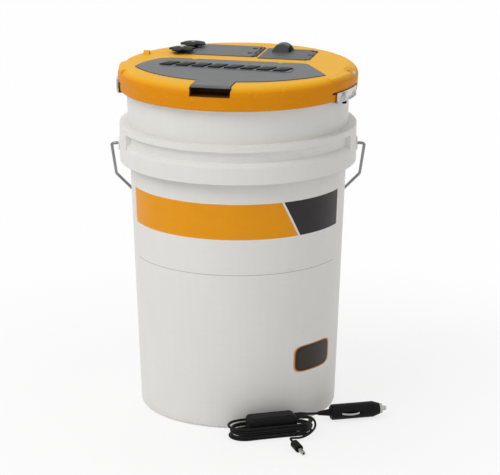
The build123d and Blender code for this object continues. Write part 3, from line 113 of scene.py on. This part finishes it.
class Mat:
    # a material with one Principled shader and short ways to feed it

    def __init__(self, name):
        self.material = bpy.data.materials.new(name)
        self.material.use_nodes = True
        self.tree = self.material.node_tree
        self.shader = self.tree.nodes["Principled BSDF"]

    def node(self, kind, settings=None, inputs=None):
        node = self.tree.nodes.new(kind)
        for key, value in (settings or {}).items():
            setattr(node, key, value)
        for key, value in (inputs or {}).items():
            if isinstance(value, Val):
                self.tree.links.new(value.socket, node.inputs[key])
            else:
                node.inputs[key].default_value = value
        return node

    def out(self, node, name=0):
        return Val(self.tree, node.outputs[name])

    def place(self):
        return self.out(self.node("ShaderNodeTexCoord"), "Object")

    def xyz(self, vector):
        split = self.node("ShaderNodeSeparateXYZ", inputs={0: vector})
        return [self.out(split, i) for i in range(3)]

    def noise(self, vector, scale, detail=3.0, roughness=0.5):
        texture = self.node(
            "ShaderNodeTexNoise",
            inputs={"Vector": vector, "Scale": scale, "Detail": detail, "Roughness": roughness},
        )
        return self.out(texture, "Fac")

    def scaled(self, vector, scale):
        mapping = self.node("ShaderNodeMapping", inputs={"Vector": vector, "Scale": scale})
        return self.out(mapping)

    def mix(self, factor, first, second):
        node = self.node("ShaderNodeMix", {"data_type": "RGBA"})
        for index, value in ((0, factor), (6, first), (7, second)):
            if isinstance(value, Val):
                self.tree.links.new(value.socket, node.inputs[index])
            elif index == 0:
                node.inputs[index].default_value = value
            else:
                node.inputs[index].default_value = (*value, 1.0)
        return Val(self.tree, node.outputs[2])

    def shades(self, factor, pair):
        # between two screen colours
        return self.mix(factor, srgb(*pair[0]), srgb(*pair[1]))

    def over(self, mask, under, finish):
        # finish is a screen colour and how strongly it covers where the mask is 1
        colour, strength = finish
        return self.mix(mask * strength, under, srgb(*colour))

    def bump(self, height, distance, strength=1.0, normal=None):
        inputs = {"Height": height, "Distance": distance, "Strength": strength}
        if normal is not None:
            inputs["Normal"] = normal
        return self.out(self.node("ShaderNodeBump", inputs=inputs))

    def rubs(self, vector, stretch, scale, detail, least, gain):
        # long soft marks where something has rubbed, 0 where the noise is under least
        marks = self.noise(self.scaled(vector, stretch), scale, detail)
        return ((marks - least) * gain).clamp()

    def softEdge(self, radius):
        return self.out(self.node("ShaderNodeBevel", {"samples": 4}, {"Radius": radius}))

    def feed(self, **values):
        names = {
            "colour": "Base Color",
            "roughness": "Roughness",
            "metallic": "Metallic",
            "normal": "Normal",
            "specular": "Specular IOR Level",
        }
        for key, value in values.items():
            socket = self.shader.inputs[names[key]]
            if isinstance(value, Val):
                self.tree.links.new(value.socket, socket)
            elif key == "colour":
                socket.default_value = (*value, 1.0)
            else:
                socket.default_value = value
        return self.material


def srgb(red, green, blue):
    # screen colour 0..255 to the linear values that shaders take
    def one(value):
        value /= 255.0
        return value / 12.92 if value <= 0.04045 else ((value + 0.055) / 1.055) ** 2.4

    return (one(red), one(green), one(blue))


# camera, as the photograph was taken

camera = {
    "turn": 13.0,  # degrees round the pail from its front
    "distance": 3.05526,
    "height": 1.07345,
    "tilt": 15.527,  # looking down, degrees
    "lens": 170.39,
    "shift": 0.0239,
}
cameraData = bpy.data.cameras.new("photoCamera")
cameraData.lens = camera["lens"]
cameraData.sensor_width = 36.0
cameraData.shift_x = camera["shift"]
cameraData.clip_end = 50.0
cameraObject = bpy.data.objects.new("photoCamera", cameraData)
scene.collection.objects.link(cameraObject)
cameraTurn = math.radians(camera["turn"])
cameraObject.location = (
    camera["distance"] * math.sin(cameraTurn),
    -camera["distance"] * math.cos(cameraTurn),
    camera["height"],
)
cameraObject.rotation_euler = (math.radians(90.0 - camera["tilt"]), 0.0, cameraTurn)
scene.camera = cameraObject

# light, floor and backdrop

studio = {
    "world": 0.50,
    "floorNear": 0.76,  # how much of the floor's white is its own, close to the pail
    "floorFar": 0.97,
    "floorFade": (0.25, 0.45),  # from near to far: where it starts and over what length
    "floorHalf": 6.0,
    "aimHeight": 0.22,
    "key": {"energy": 41.0, "size": 2.0, "angle": -50.0, "height": 2.7, "distance": 2.4},
    "fill": {"energy": 3.0, "size": 2.4, "angle": 70.0, "height": 1.4, "distance": 3.0},
    "top": {"energy": 17.0, "size": 1.6, "angle": -150.0, "height": 3.2, "distance": 0.9},
}
scene.view_settings.view_transform = "Standard"
world = bpy.data.worlds.new("studioWorld")
world.use_nodes = True
scene.world = world
worldTree = world.node_tree
background = worldTree.nodes["Background"]
lightPath = worldTree.nodes.new("ShaderNodeLightPath")
seen = (
    Val(worldTree, lightPath.outputs["Is Camera Ray"])
    .maxWith(Val(worldTree, lightPath.outputs["Is Glossy Ray"]))
    .maxWith(Val(worldTree, lightPath.outputs["Is Transmission Ray"]))
)
worldLevel = seen * (1.0 - studio["world"]) + studio["world"]
worldTree.links.new(worldLevel.socket, background.inputs["Strength"])
background.inputs["Color"].default_value = (1.0, 1.0, 1.0, 1.0)

for lampName in ("key", "fill", "top"):
    lamp = studio[lampName]
    lampData = bpy.data.lights.new(lampName + "Lamp", "AREA")
    lampData.energy = lamp["energy"]
    lampData.size = lamp["size"]
    lampObject = bpy.data.objects.new(lampName + "Lamp", lampData)
    scene.collection.objects.link(lampObject)
    angle = math.radians(lamp["angle"] + camera["turn"])
    place = Vector(
        (lamp["distance"] * math.sin(angle), -lamp["distance"] * math.cos(angle), lamp["height"])
    )
    lampObject.location = place
    aim = Vector((0.0, 0.0, studio["aimHeight"])) - place
    lampObject.rotation_euler = aim.to_track_quat("-Z", "Y").to_euler()

floorMesh = bmesh.new()
bmesh.ops.create_grid(floorMesh, x_segments=1, y_segments=1, size=studio["floorHalf"])
floorData = bpy.data.meshes.new("studioFloor")
floorMesh.to_mesh(floorData)
floorMesh.free()
floor = bpy.data.objects.new("studioFloor", floorData)
scene.collection.objects.link(floor)
floorMat = Mat("paperFloor")
floorMat.feed(colour=(0.9, 0.9, 0.9), roughness=0.9, specular=0.1)
floorPath = floorMat.node("ShaderNodeLightPath")
floorGlow = floorMat.node("ShaderNodeEmission", inputs={"Color": (1.0, 1.0, 1.0, 1.0)})
floorMix = floorMat.node("ShaderNodeMixShader")
floorX, floorY = floorMat.xyz(floorMat.place())[:2]
floorAway = (floorX * floorX + floorY * floorY).math("SQRT").ramp(*studio["floorFade"])
floorOwn = studio["floorNear"] + floorAway * (studio["floorFar"] - studio["floorNear"])
floorSeen = (
    floorMat.out(floorPath, "Is Camera Ray")
    .maxWith(floorMat.out(floorPath, "Is Glossy Ray"))
    .maxWith(floorMat.out(floorPath, "Is Transmission Ray"))
    * floorOwn
)
floorMat.tree.links.new(floorSeen.socket, floorMix.inputs[0])
floorMat.tree.links.new(floorMat.shader.outputs[0], floorMix.inputs[1])
floorMat.tree.links.new(floorGlow.outputs[0], floorMix.inputs[2])
floorMat.tree.links.new(
    floorMix.outputs[0], floorMat.tree.nodes["Material Output"].inputs["Surface"]
)
floorData.materials.append(floorMat.material)
print("camera, lamps and floor placed")

# cords on the floor

hank = {
    "centre": (0.07714, -0.13408),
    "turn": 29.0,
    "left": -0.0365,  # ends of the straight runs
    "right": 0.035,
    "inner": 0.0165,
    "pitch": 0.0040,
    "layer": 0.00345,
    "diameter": 0.0034,
    "lift": 0.00005,
    "gland": -0.037,
    "ease": (0.016, 0.014),  # from a round end to the run's last point, left and right
    "climb": (0.85, 0.5, 0.12),  # share of a layer still to rise along the back run
    "lastRun": 0.024,
    "looseRight": [-0.001, 0.003, 0.0, 0.004, 0.002],  # how far each loop slips out at the right
    "frontRight": [-0.001, -0.005, -0.0045, -0.006, -0.005],  # the same at its front corners
    "looseLeft": [0.001, 0.002, -0.001, 0.0, 0.0025],
    "frontRun": [-0.0012, 0.0006, -0.0006, 0.0008, 0.0],  # in and out of the front runs
    "lead": [(0.045, 0.0205, 0.01705), (0.05911, 0.02828, 0.0115), (0.0711, 0.0278, 0.0115)],
}
jackLead = {
    "diameter": 0.0030,
    "route": [
        (0.034, -0.008, 0.0225),
        (0.044, -0.008, 0.0225),
        (0.052, -0.0145, 0.0208),
        (0.0515, -0.025, 0.014),
        (0.042, -0.0315, 0.0075),
        (0.0295, -0.0335, 0.0032),
        (0.017, -0.034, 0.0044),
        (0.00975, -0.04405, 0.00797),
        (0.0105, -0.054, 0.00727),
    ],
}
hankTurn = math.radians(hank["turn"])


def onFloor(point):
    u, v, z = point
    x = hank["centre"][0] + u * math.cos(hankTurn) - v * math.sin(hankTurn)
    y = hank["centre"][1] + u * math.sin(hankTurn) + v * math.cos(hankTurn)
    return (x, y, z)


def cordCurve(name, points, diameter, material):
    curve = bpy.data.curves.new(name, "CURVE")
    curve.dimensions = "3D"
    curve.bevel_depth = diameter / 2
    curve.bevel_resolution = 5
    curve.resolution_u = 8
    curve.use_fill_caps = True
    spline = curve.splines.new("NURBS")
    spline.points.add(len(points) - 1)
    for knot, point in zip(spline.points, points):
        knot.co = (*point, 1.0)
    spline.order_u = 3
    spline.use_endpoint_u = True
    curve.materials.append(material)
    piece = bpy.data.objects.new(name, curve)
    scene.collection.objects.link(piece)
    return piece


def halfTurn(middle, radius, z, side, slip, slipAfter=None):
    # four corners of the polygon that a round end touches; side is +1 right, -1 left
    u, v = middle
    slips = (slip, slip if slipAfter is None else slipAfter)
    corners = []
    for degrees in (67.5, 22.5, -22.5, -67.5):
        a = math.radians(degrees)
        reach = radius / math.cos(math.radians(22.5))
        out = reach * math.cos(a) + slips[degrees < 0] * (1.0 if abs(degrees) < 45 else 0.6)
        corners.append((u + side * out, v + side * reach * math.sin(a), z))
    return corners


def hankRoute():
    base = hank["diameter"] / 2 + hank["lift"]
    left, right = hank["left"], hank["right"]
    inner, pitch, layer = hank["inner"], hank["pitch"], hank["layer"]
    front = inner + pitch / 2
    leftEase, rightEase = hank["ease"]
    runStops = (left + leftEase, 0.0, right - rightEase)
    loops = len(hank["looseRight"])
    points = [(hank["gland"], 0.0, base)]
    gap = inner / 2
    points += halfTurn((hank["gland"], gap), gap, base, -1, 0.0)
    for loop in range(loops):
        z = base + loop * layer
        back = inner if loop % 2 == 0 else inner + pitch
        rise = 0.0 if loop == 0 else layer
        points += [(u, back, z - rise * share) for u, share in zip(runStops, hank["climb"])]
        radius = (back + front) / 2
        middle = (back - front) / 2
        points += halfTurn(
            (right, middle), radius, z, 1, hank["looseRight"][loop], hank["frontRight"][loop]
        )
        run = -front - hank["frontRun"][loop]
        points += [(u, run, z) for u in reversed(runStops)]
        after = inner + pitch if loop % 2 == 0 else inner
        radius = (after + front) / 2
        middle = (after - front) / 2
        points += halfTurn((left, middle), radius, z, -1, hank["looseLeft"][loop])
    top = base + (loops - 1) * layer
    last = inner + pitch
    points += [(u, last, top) for u in (left + leftEase, 0.0, hank["lastRun"])]
    return points + hank["lead"]


cordLook = {"shades": ((12, 12, 13), (26, 25, 25)), "roughness": 0.46}

cordMat = Mat("cordBlack")
cordPlace = cordMat.place()
cordGrain = cordMat.noise(cordPlace, 900.0, 2.0)
cordCloud = cordMat.noise(cordPlace, 40.0, 2.0)
cordMat.feed(
    colour=cordMat.shades(cordCloud, cordLook["shades"]),
    roughness=cordCloud * 0.12 + cordLook["roughness"],
    normal=cordMat.bump(cordGrain, 0.00012, 0.5),
    specular=0.15,
)

powerCord = cordCurve(
    "powerCordRun", [onFloor(p) for p in hankRoute()], hank["diameter"], cordMat.material
)
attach(powerCord, "base")
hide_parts("power_cord")
onFloor((hank["gland"], 0.0, 0.00175))
thinLead = cordCurve(
    "thinLeadRun",
    [onFloor(p) for p in jackLead["route"]],
    jackLead["diameter"],
    cordMat.material,
)
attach(thinLead, "base")
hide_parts("jack_lead")
onFloor(jackLead["route"][0])
print("cords laid")

# pail plastic with its printed label

label = {
    "turn": 13.0,  # the label faces the photograph's camera
    "bandLow": 0.2598,
    "bandHigh": 0.307,
    "bandLeft": -71.3,
    "bandRight": 66.4,
    "dividerTop": 23.9,  # azimuth of the slanted divider at the band's top and foot
    "dividerFoot": 34.2,
    "dividerWidth": 1.3,
    "dividerEdge": 0.2,  # degrees over which its edges blend
    "sideEdge": 0.15,  # the same at the band's two ends
    "bandEdge": 0.0004,
    "rule": (0.2116, 0.2124),  # thin dotted line under the band
    "ruleEdge": 0.0002,
    "ruleDots": 14.0,
    "ruleGap": -0.2,  # the gaps between its dots close towards -1
    "panelAzimuth": 48.0,
    "panelHeight": 0.0885,
    "panelHalfWidth": 15.5,
    "panelHalfHeight": 0.019,
    "panelSquare": 5.0,  # higher is squarer at its corners
}

pailLook = {
    "plastic": ((234, 232, 228), (243, 241, 237)),
    "lines": ((224, 222, 217), 0.30),
    "rubbed": ((214, 211, 205), 0.22),
    "dirt": ((186, 178, 168), 0.35),
    "dirtHeight": 0.012,
    "roughness": 0.40,
    "outside": 0.1305,  # print lies only beyond this distance from the axis
    "yellowInk": ((236, 153, 6), (243, 161, 12)),
    "darkInk": ((42, 38, 40), (50, 46, 48)),
    "ruleInk": ((70, 66, 66), 0.8),
    "panelInk": ((226, 150, 62), (46, 40, 36), (54, 47, 42)),  # edge, rim and field
}

pailMat = Mat("pailWhite")
pailPlace = pailMat.place()
px, py, pz = pailMat.xyz(pailPlace)
azimuth = px.math("ARCTAN2", py * -1.0) * (180.0 / math.pi) - label["turn"]
radial = (px * px + py * py).math("SQRT")
outside = radial > pailLook["outside"]
cloud = pailMat.noise(pailPlace, 9.0, 3.0)
grain = pailMat.noise(pailPlace, 700.0, 2.0)
scuff = pailMat.noise(pailMat.scaled(pailPlace, (60.0, 60.0, 14.0)), 4.0, 4.0)
drawLines = pailMat.noise(pailMat.scaled(pailPlace, (40.0, 40.0, 1.2)), 5.0, 3.0)
rubbed = pailMat.rubs(pailPlace, (5.0, 5.0, 30.0), 9.0, 4.0, 0.62, 6.0)
pailColour = pailMat.shades(cloud, pailLook["plastic"])
pailColour = pailMat.over(drawLines, pailColour, pailLook["lines"])
pailColour = pailMat.over(rubbed, pailColour, pailLook["rubbed"])
footDirt = ((pailLook["dirtHeight"] - pz) * 60.0).clamp() * scuff
pailColour = pailMat.over(footDirt, pailColour, pailLook["dirt"])
bandAlong = (pz - label["bandLow"]) / (label["bandHigh"] - label["bandLow"])
divider = label["dividerFoot"] + bandAlong * (label["dividerTop"] - label["dividerFoot"])
band = pz.within(label["bandLow"], label["bandHigh"], label["bandEdge"]) * outside
halfDivider = label["dividerWidth"] / 2
leftPart = azimuth.within(label["bandLeft"], 90.0, label["sideEdge"]) * (
    (divider - azimuth - halfDivider) / label["dividerEdge"] + 0.5
).clamp()
rightPart = azimuth.within(-90.0, label["bandRight"], label["sideEdge"]) * (
    (azimuth - divider - halfDivider) / label["dividerEdge"] + 0.5
).clamp()
inkCloud = pailMat.noise(pailPlace, 55.0, 3.0)
yellowInk = pailMat.shades(inkCloud, pailLook["yellowInk"])
darkInk = pailMat.shades(inkCloud, pailLook["darkInk"])
pailColour = pailMat.mix(band * leftPart, pailColour, yellowInk)
pailColour = pailMat.mix(band * rightPart, pailColour, darkInk)
# plain rounded panel, low on the right
panelX = ((azimuth - label["panelAzimuth"]) / label["panelHalfWidth"]).absolute()
panelZ = ((pz - label["panelHeight"]) / label["panelHalfHeight"]).absolute()
squareness = label["panelSquare"]
panelRound = panelX.math("POWER", squareness) + panelZ.math("POWER", squareness)
panel = ((1.0 - panelRound) * 6.0).clamp() * outside
panelRim = ((0.70 - panelRound) * 8.0).clamp() * outside
panelField = ((0.30 - panelRound) * 8.0).clamp() * outside
for part, ink in zip((panel, panelRim, panelField), pailLook["panelInk"]):
    pailColour = pailMat.mix(part, pailColour, srgb(*ink))
ruleDots = (azimuth * label["ruleDots"]).math("SINE") > label["ruleGap"]
rule = (
    pz.within(*label["rule"], label["ruleEdge"])
    * azimuth.within(label["bandLeft"] + 1.0, label["bandRight"] - 2.0)
    * ruleDots
    * outside
)
pailColour = pailMat.over(rule, pailColour, pailLook["ruleInk"])
printed = (band * (leftPart + rightPart)).maxWith(panel)
pailNormal = pailMat.bump(grain, 0.00006, 0.35, pailMat.softEdge(0.0009))
pailNormal = pailMat.bump(scuff, 0.00012, 0.12, pailNormal)
pailNormal = pailMat.bump(drawLines, 0.0003, 0.10, pailNormal)
pailMat.feed(
    colour=pailColour,
    roughness=cloud * 0.1 + pailLook["roughness"] + rubbed * 0.12 - printed * 0.06,
    normal=pailNormal,
    specular=0.2,
)
print("pail label made")

# moulded plastics of the lid

lidLook = {
    "deck": ((243, 183, 30), (249, 191, 42)),
    # skirt colour: partly the plastic's own deeper orange, partly painted shade on the lid's
    # down-turned side
    "skirt": ((228, 142, 4), (238, 152, 8)),
    "deckHeight": (0.4545, 0.006),  # where the deck's colour starts, and over what height
    "flow": ((224, 142, 10), 0.25),
    "rubbed": ((248, 206, 112), 0.20),
    "speck": ((206, 130, 12), 0.10),
    "roughness": 0.42,
    "notch": (-0.0285, 0.0265, -0.100, 0.4480, 0.4600),  # x, x, y, z, z of the finger notch
    "notchMouth": 0.1548,
    # near-black brown painted into the finger notch: painted shade in its deep recess
    "notchPaintedShade": ((52, 40, 30), 0.9),
    "lugGrey": (104, 107, 108),
    "lugDark": (48, 48, 48),
    "lugs": [
        ("lugGrey", 0.0105, 0.073),
        ("lugGrey", 0.0105, 0.103),
        ("lugDark", 0.084, 0.07096),
        ("lugDark", 0.084, 0.09696),
    ],
    "lugHalf": (0.0042, 0.0032),
    "lugFoot": 0.4565,
}

lidMat = Mat("lidYellow")
lidPlace = lidMat.place()
lx, ly, lz = lidMat.xyz(lidPlace)
lidRadial = (lx * lx + ly * ly).math("SQRT")
lidCloud = lidMat.noise(lidPlace, 11.0, 3.0)
lidFlow = lidMat.noise(lidMat.scaled(lidPlace, (6.0, 6.0, 40.0)), 3.0, 3.0)
lidSpeck = lidMat.noise(lidPlace, 1400.0, 2.0)
lidGrain = lidMat.noise(lidPlace, 520.0, 3.0)
lidRubbed = lidMat.rubs(lidPlace, (22.0, 4.0, 22.0), 8.0, 5.0, 0.60, 7.0)
deckColour = lidMat.shades(lidCloud, lidLook["deck"])
skirtColour = lidMat.shades(lidCloud, lidLook["skirt"])
# below deckHeight the lid takes the skirt colour, which is partly painted shade
lidColour = lidMat.mix(lz.ramp(*lidLook["deckHeight"]), skirtColour, deckColour)
lidColour = lidMat.over(lidFlow, lidColour, lidLook["flow"])
lidColour = lidMat.over(lidRubbed, lidColour, lidLook["rubbed"])
lidColour = lidMat.over(lidSpeck, lidColour, lidLook["speck"])
notchFrom, notchTo, notchFront, notchLow, notchHigh = lidLook["notch"]
# mask of the painted shade inside the finger notch
notchPaintedShadeMask = (
    lx.within(notchFrom, notchTo)
    * lz.within(notchLow, notchHigh)
    * (ly < notchFront)
    * (lidRadial < lidLook["notchMouth"])
)
lidColour = lidMat.over(notchPaintedShadeMask, lidColour, lidLook["notchPaintedShade"])
lugWide, lugDeep = lidLook["lugHalf"]
for shade, lugX, lugY in lidLook["lugs"]:
    lug = (
        lx.within(lugX - lugWide, lugX + lugWide)
        * ly.within(lugY - lugDeep, lugY + lugDeep)
        * (lz > lidLook["lugFoot"])
    )
    lidColour = lidMat.mix(lug, lidColour, srgb(*lidLook[shade]))
lidMat.feed(
    colour=lidColour,
    roughness=lidCloud * 0.10 + lidLook["roughness"] + lidRubbed * 0.12,
    normal=lidMat.bump(lidGrain, 0.00012, 0.35, lidMat.softEdge(0.0012)),
    specular=0.1,
)

doorLook = {
    "plastic": ((107, 110, 110), (117, 120, 120)),
    "rear": ((98, 102, 105), 0.6),
    "rearFrom": (0.02, 0.03),  # y where the rear doors' shade starts, and over what length
    "pumpDoor": ((86, 88, 89), 0.7),
    "pumpFrom": (0.018, 0.004),  # the same along x for the pump door
    "speck": ((84, 86, 87), 0.16),
    "rubbed": ((152, 154, 153), 0.22),
    # painted shade colour for the battery door's rounded barrel
    "hinge": (50, 49, 48),
    "barrel": (0.0072, 0.0150),  # x of the painted shade band along the battery door's rounded barrel
    "barrelEdge": 0.0006,
    "roughness": 0.50,
}

doorMat = Mat("doorGrey")
doorPlace = doorMat.place()
doorX, doorY = doorMat.xyz(doorPlace)[:2]
doorCloud = doorMat.noise(doorPlace, 14.0, 3.0)
doorGrain = doorMat.noise(doorPlace, 650.0, 3.0)
doorSpeck = doorMat.noise(doorPlace, 1700.0, 2.0)
doorRubbed = doorMat.rubs(doorPlace, (4.0, 26.0, 26.0), 8.0, 5.0, 0.60, 7.0)
rearDoors = doorY.ramp(*doorLook["rearFrom"])
pumpDoor = rearDoors * doorX.ramp(*doorLook["pumpFrom"])
# mask of the painted shade on the battery door's rounded barrel
barrelShadeBand = doorX.within(*doorLook["barrel"], doorLook["barrelEdge"]) * rearDoors
doorColour = doorMat.shades(doorCloud, doorLook["plastic"])
doorColour = doorMat.over(rearDoors, doorColour, doorLook["rear"])
doorColour = doorMat.over(pumpDoor, doorColour, doorLook["pumpDoor"])
doorColour = doorMat.over(doorSpeck, doorColour, doorLook["speck"])
doorColour = doorMat.over(doorRubbed, doorColour, doorLook["rubbed"])
doorColour = doorMat.mix(barrelShadeBand, doorColour, srgb(*doorLook["hinge"]))
doorMat.feed(
    colour=doorColour,
    roughness=doorCloud * 0.10 + doorLook["roughness"] - doorRubbed * 0.08,
    normal=doorMat.bump(doorGrain, 0.00018, 0.6, doorMat.softEdge(0.0007)),
    specular=0.2,
)

blackLook = {
    "plastic": ((13, 13, 14), (25, 25, 26)),
    "rubbed": ((58, 58, 57), 0.35),
    "roughness": 0.40,
}

blackMat = Mat("mouldedBlack")
blackPlace = blackMat.place()
blackCloud = blackMat.noise(blackPlace, 35.0, 3.0)
blackGrain = blackMat.noise(blackPlace, 700.0, 2.0)
blackRubbed = blackMat.rubs(blackPlace, (30.0, 30.0, 8.0), 9.0, 5.0, 0.62, 7.0)
blackColour = blackMat.shades(blackCloud, blackLook["plastic"])
blackColour = blackMat.over(blackRubbed, blackColour, blackLook["rubbed"])
blackMat.feed(
    colour=blackColour,
    roughness=blackCloud * 0.15 + blackLook["roughness"],
    normal=blackMat.bump(blackGrain, 0.00012, 0.4, blackMat.softEdge(0.0006)),
    specular=0.1,
)
print("moulded plastics made")

# metals: latch plates and screws, bail wire, plug contacts

metalLook = {
    "steel": {"shades": ((128, 127, 123), (205, 204, 200)), "roughness": 0.24},
    "wire": {"shades": ((116, 116, 117), (148, 148, 147)), "roughness": 0.30},
    "nickel": {"shades": ((146, 144, 139), (190, 188, 182)), "roughness": 0.12},
}

steelMat = Mat("zincSteel")
steelPlace = steelMat.place()
steelLines = steelMat.noise(steelMat.scaled(steelPlace, (1.0, 1.0, 28.0)), 240.0, 3.0)
steelCloud = steelMat.noise(steelPlace, 60.0, 4.0)
steelSpangle = steelCloud.ramp(0.40, 0.20)
steelMat.feed(
    colour=steelMat.shades(steelSpangle, metalLook["steel"]["shades"]),
    metallic=1.0,
    roughness=steelLines * 0.16 + metalLook["steel"]["roughness"],
    normal=steelMat.bump(steelLines, 0.00005, 0.35, steelMat.softEdge(0.0003)),
)

wireMat = Mat("drawnWire")
wirePlace = wireMat.place()
wireLines = wireMat.noise(wireMat.scaled(wirePlace, (1.0, 1.0, 6.0)), 500.0, 3.0)
wireCloud = wireMat.noise(wirePlace, 22.0, 3.0)
wireMat.feed(
    colour=wireMat.shades(wireCloud, metalLook["wire"]["shades"]),
    metallic=1.0,
    roughness=wireLines * 0.12 + metalLook["wire"]["roughness"],
    normal=wireMat.bump(wireLines, 0.00004, 0.3),
)

nickelMat = Mat("platedNickel")
nickelPlace = nickelMat.place()
nickelCloud = nickelMat.noise(nickelPlace, 120.0, 3.0)
nickelMat.feed(
    colour=nickelMat.shades(nickelCloud, metalLook["nickel"]["shades"]),
    metallic=1.0,
    roughness=nickelCloud * 0.12 + metalLook["nickel"]["roughness"],
    normal=nickelMat.softEdge(0.0002),
)
print("metals made")

# rubber, tube and stone

smallLook = {
    "rubber": {"shades": ((28, 28, 28), (44, 43, 42)), "roughness": 0.65},
    "tube": {"shades": ((206, 206, 202), (222, 222, 218)), "roughness": 0.3},
    "stone": {"shades": ((92, 108, 128), (140, 152, 166)), "roughness": 0.92},
}

rubberMat = Mat("sealRubber")
rubberPlace = rubberMat.place()
rubberGrain = rubberMat.noise(rubberPlace, 400.0, 3.0)
rubberMat.feed(
    colour=rubberMat.shades(rubberGrain, smallLook["rubber"]["shades"]),
    roughness=rubberGrain * 0.2 + smallLook["rubber"]["roughness"],
    normal=rubberMat.bump(rubberGrain, 0.0001, 0.5),
)

tubeMat = Mat("tubePlastic")
tubePlace = tubeMat.place()
tubeCloud = tubeMat.noise(tubePlace, 25.0, 3.0)
tubeMat.feed(
    colour=tubeMat.shades(tubeCloud, smallLook["tube"]["shades"]),
    roughness=tubeCloud * 0.15 + smallLook["tube"]["roughness"],
    normal=tubeMat.softEdge(0.0004),
)

stoneMat = Mat("sinteredStone")
stonePlace = stoneMat.place()
stoneGrain = stoneMat.noise(stonePlace, 900.0, 4.0, 0.7)
stoneMat.feed(
    colour=stoneMat.shades(stoneGrain, smallLook["stone"]["shades"]),
    roughness=smallLook["stone"]["roughness"],
    normal=stoneMat.bump(stoneGrain, 0.0004, 0.9),
)
print("rubber, tube and stone made")

# finishes onto the model's nodes

finishes = {
    "pail": pailMat,
    "lid_yellow": lidMat,
    "door_grey": doorMat,
    "black_plastic": blackMat,
    "grip_plastic": tubeMat,
    "wire_steel": steelMat,
    "nickel": nickelMat,
    "seal_rubber": rubberMat,
    "tube_plastic": tubeMat,
    "stone": stoneMat,
}
ownFinishes = {"bail_wire": wireMat}
for subpart in frame["record"]["subparts"]:
    node = bpy.data.objects.get(subpart["node"])
    if node is None:
        print("no object for", subpart["node"])
        continue
    material = ownFinishes.get(subpart["node"], finishes[subpart["material_slot"]]).material
    if len(node.material_slots) == 0:
        node.data.materials.append(material)
    for slot in node.material_slots:
        slot.material = material
print("finishes given to the model's nodes")

# raised slanted grip ribs on the bait door

ribs = {
    "count": 8,
    "from": -0.086,
    "to": 0.083,
    "width": 0.0158,
    "depth": 0.0215,
    "slant": 0.0032,
    "height": 0.0016,
    "centre": (-0.007, -0.033),
    "turn": -3.0,
    "foot": 0.4636,
    "edge": 0.0005,
}


def gripRibs():
    mesh = bmesh.new()
    step = (ribs["to"] - ribs["from"] - ribs["width"]) / (ribs["count"] - 1)
    turn = Matrix.Translation((*ribs["centre"], 0.0)) @ Matrix.Rotation(
        math.radians(ribs["turn"]), 4, "Z"
    )
    for i in range(ribs["count"]):
        made = bmesh.ops.create_cube(mesh, size=1.0)["verts"]
        bmesh.ops.scale(mesh, vec=(ribs["width"], ribs["depth"], ribs["height"]), verts=made)
        middle = ribs["from"] + ribs["width"] / 2 + step * i
        for vert in made:
            vert.co.x += middle + vert.co.y / ribs["depth"] * ribs["slant"] * 2
            vert.co.z += ribs["foot"] + ribs["height"] / 2
    bmesh.ops.transform(mesh, matrix=turn, verts=mesh.verts[:])
    bmesh.ops.bevel(
        mesh,
        geom=mesh.edges[:],
        offset=ribs["edge"],
        segments=2,
        profile=0.5,
        affect="EDGES",
        material=-1,
    )
    data = bpy.data.meshes.new("baitDoorRibs")
    mesh.to_mesh(data)
    mesh.free()
    for face in data.polygons:
        face.use_smooth = True
    data.materials.append(blackMat.material)
    piece = bpy.data.objects.new("baitDoorRibs", data)
    scene.collection.objects.link(piece)
    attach(piece, "bait_door")
    return piece


gripRibs()
print("door ribs made")
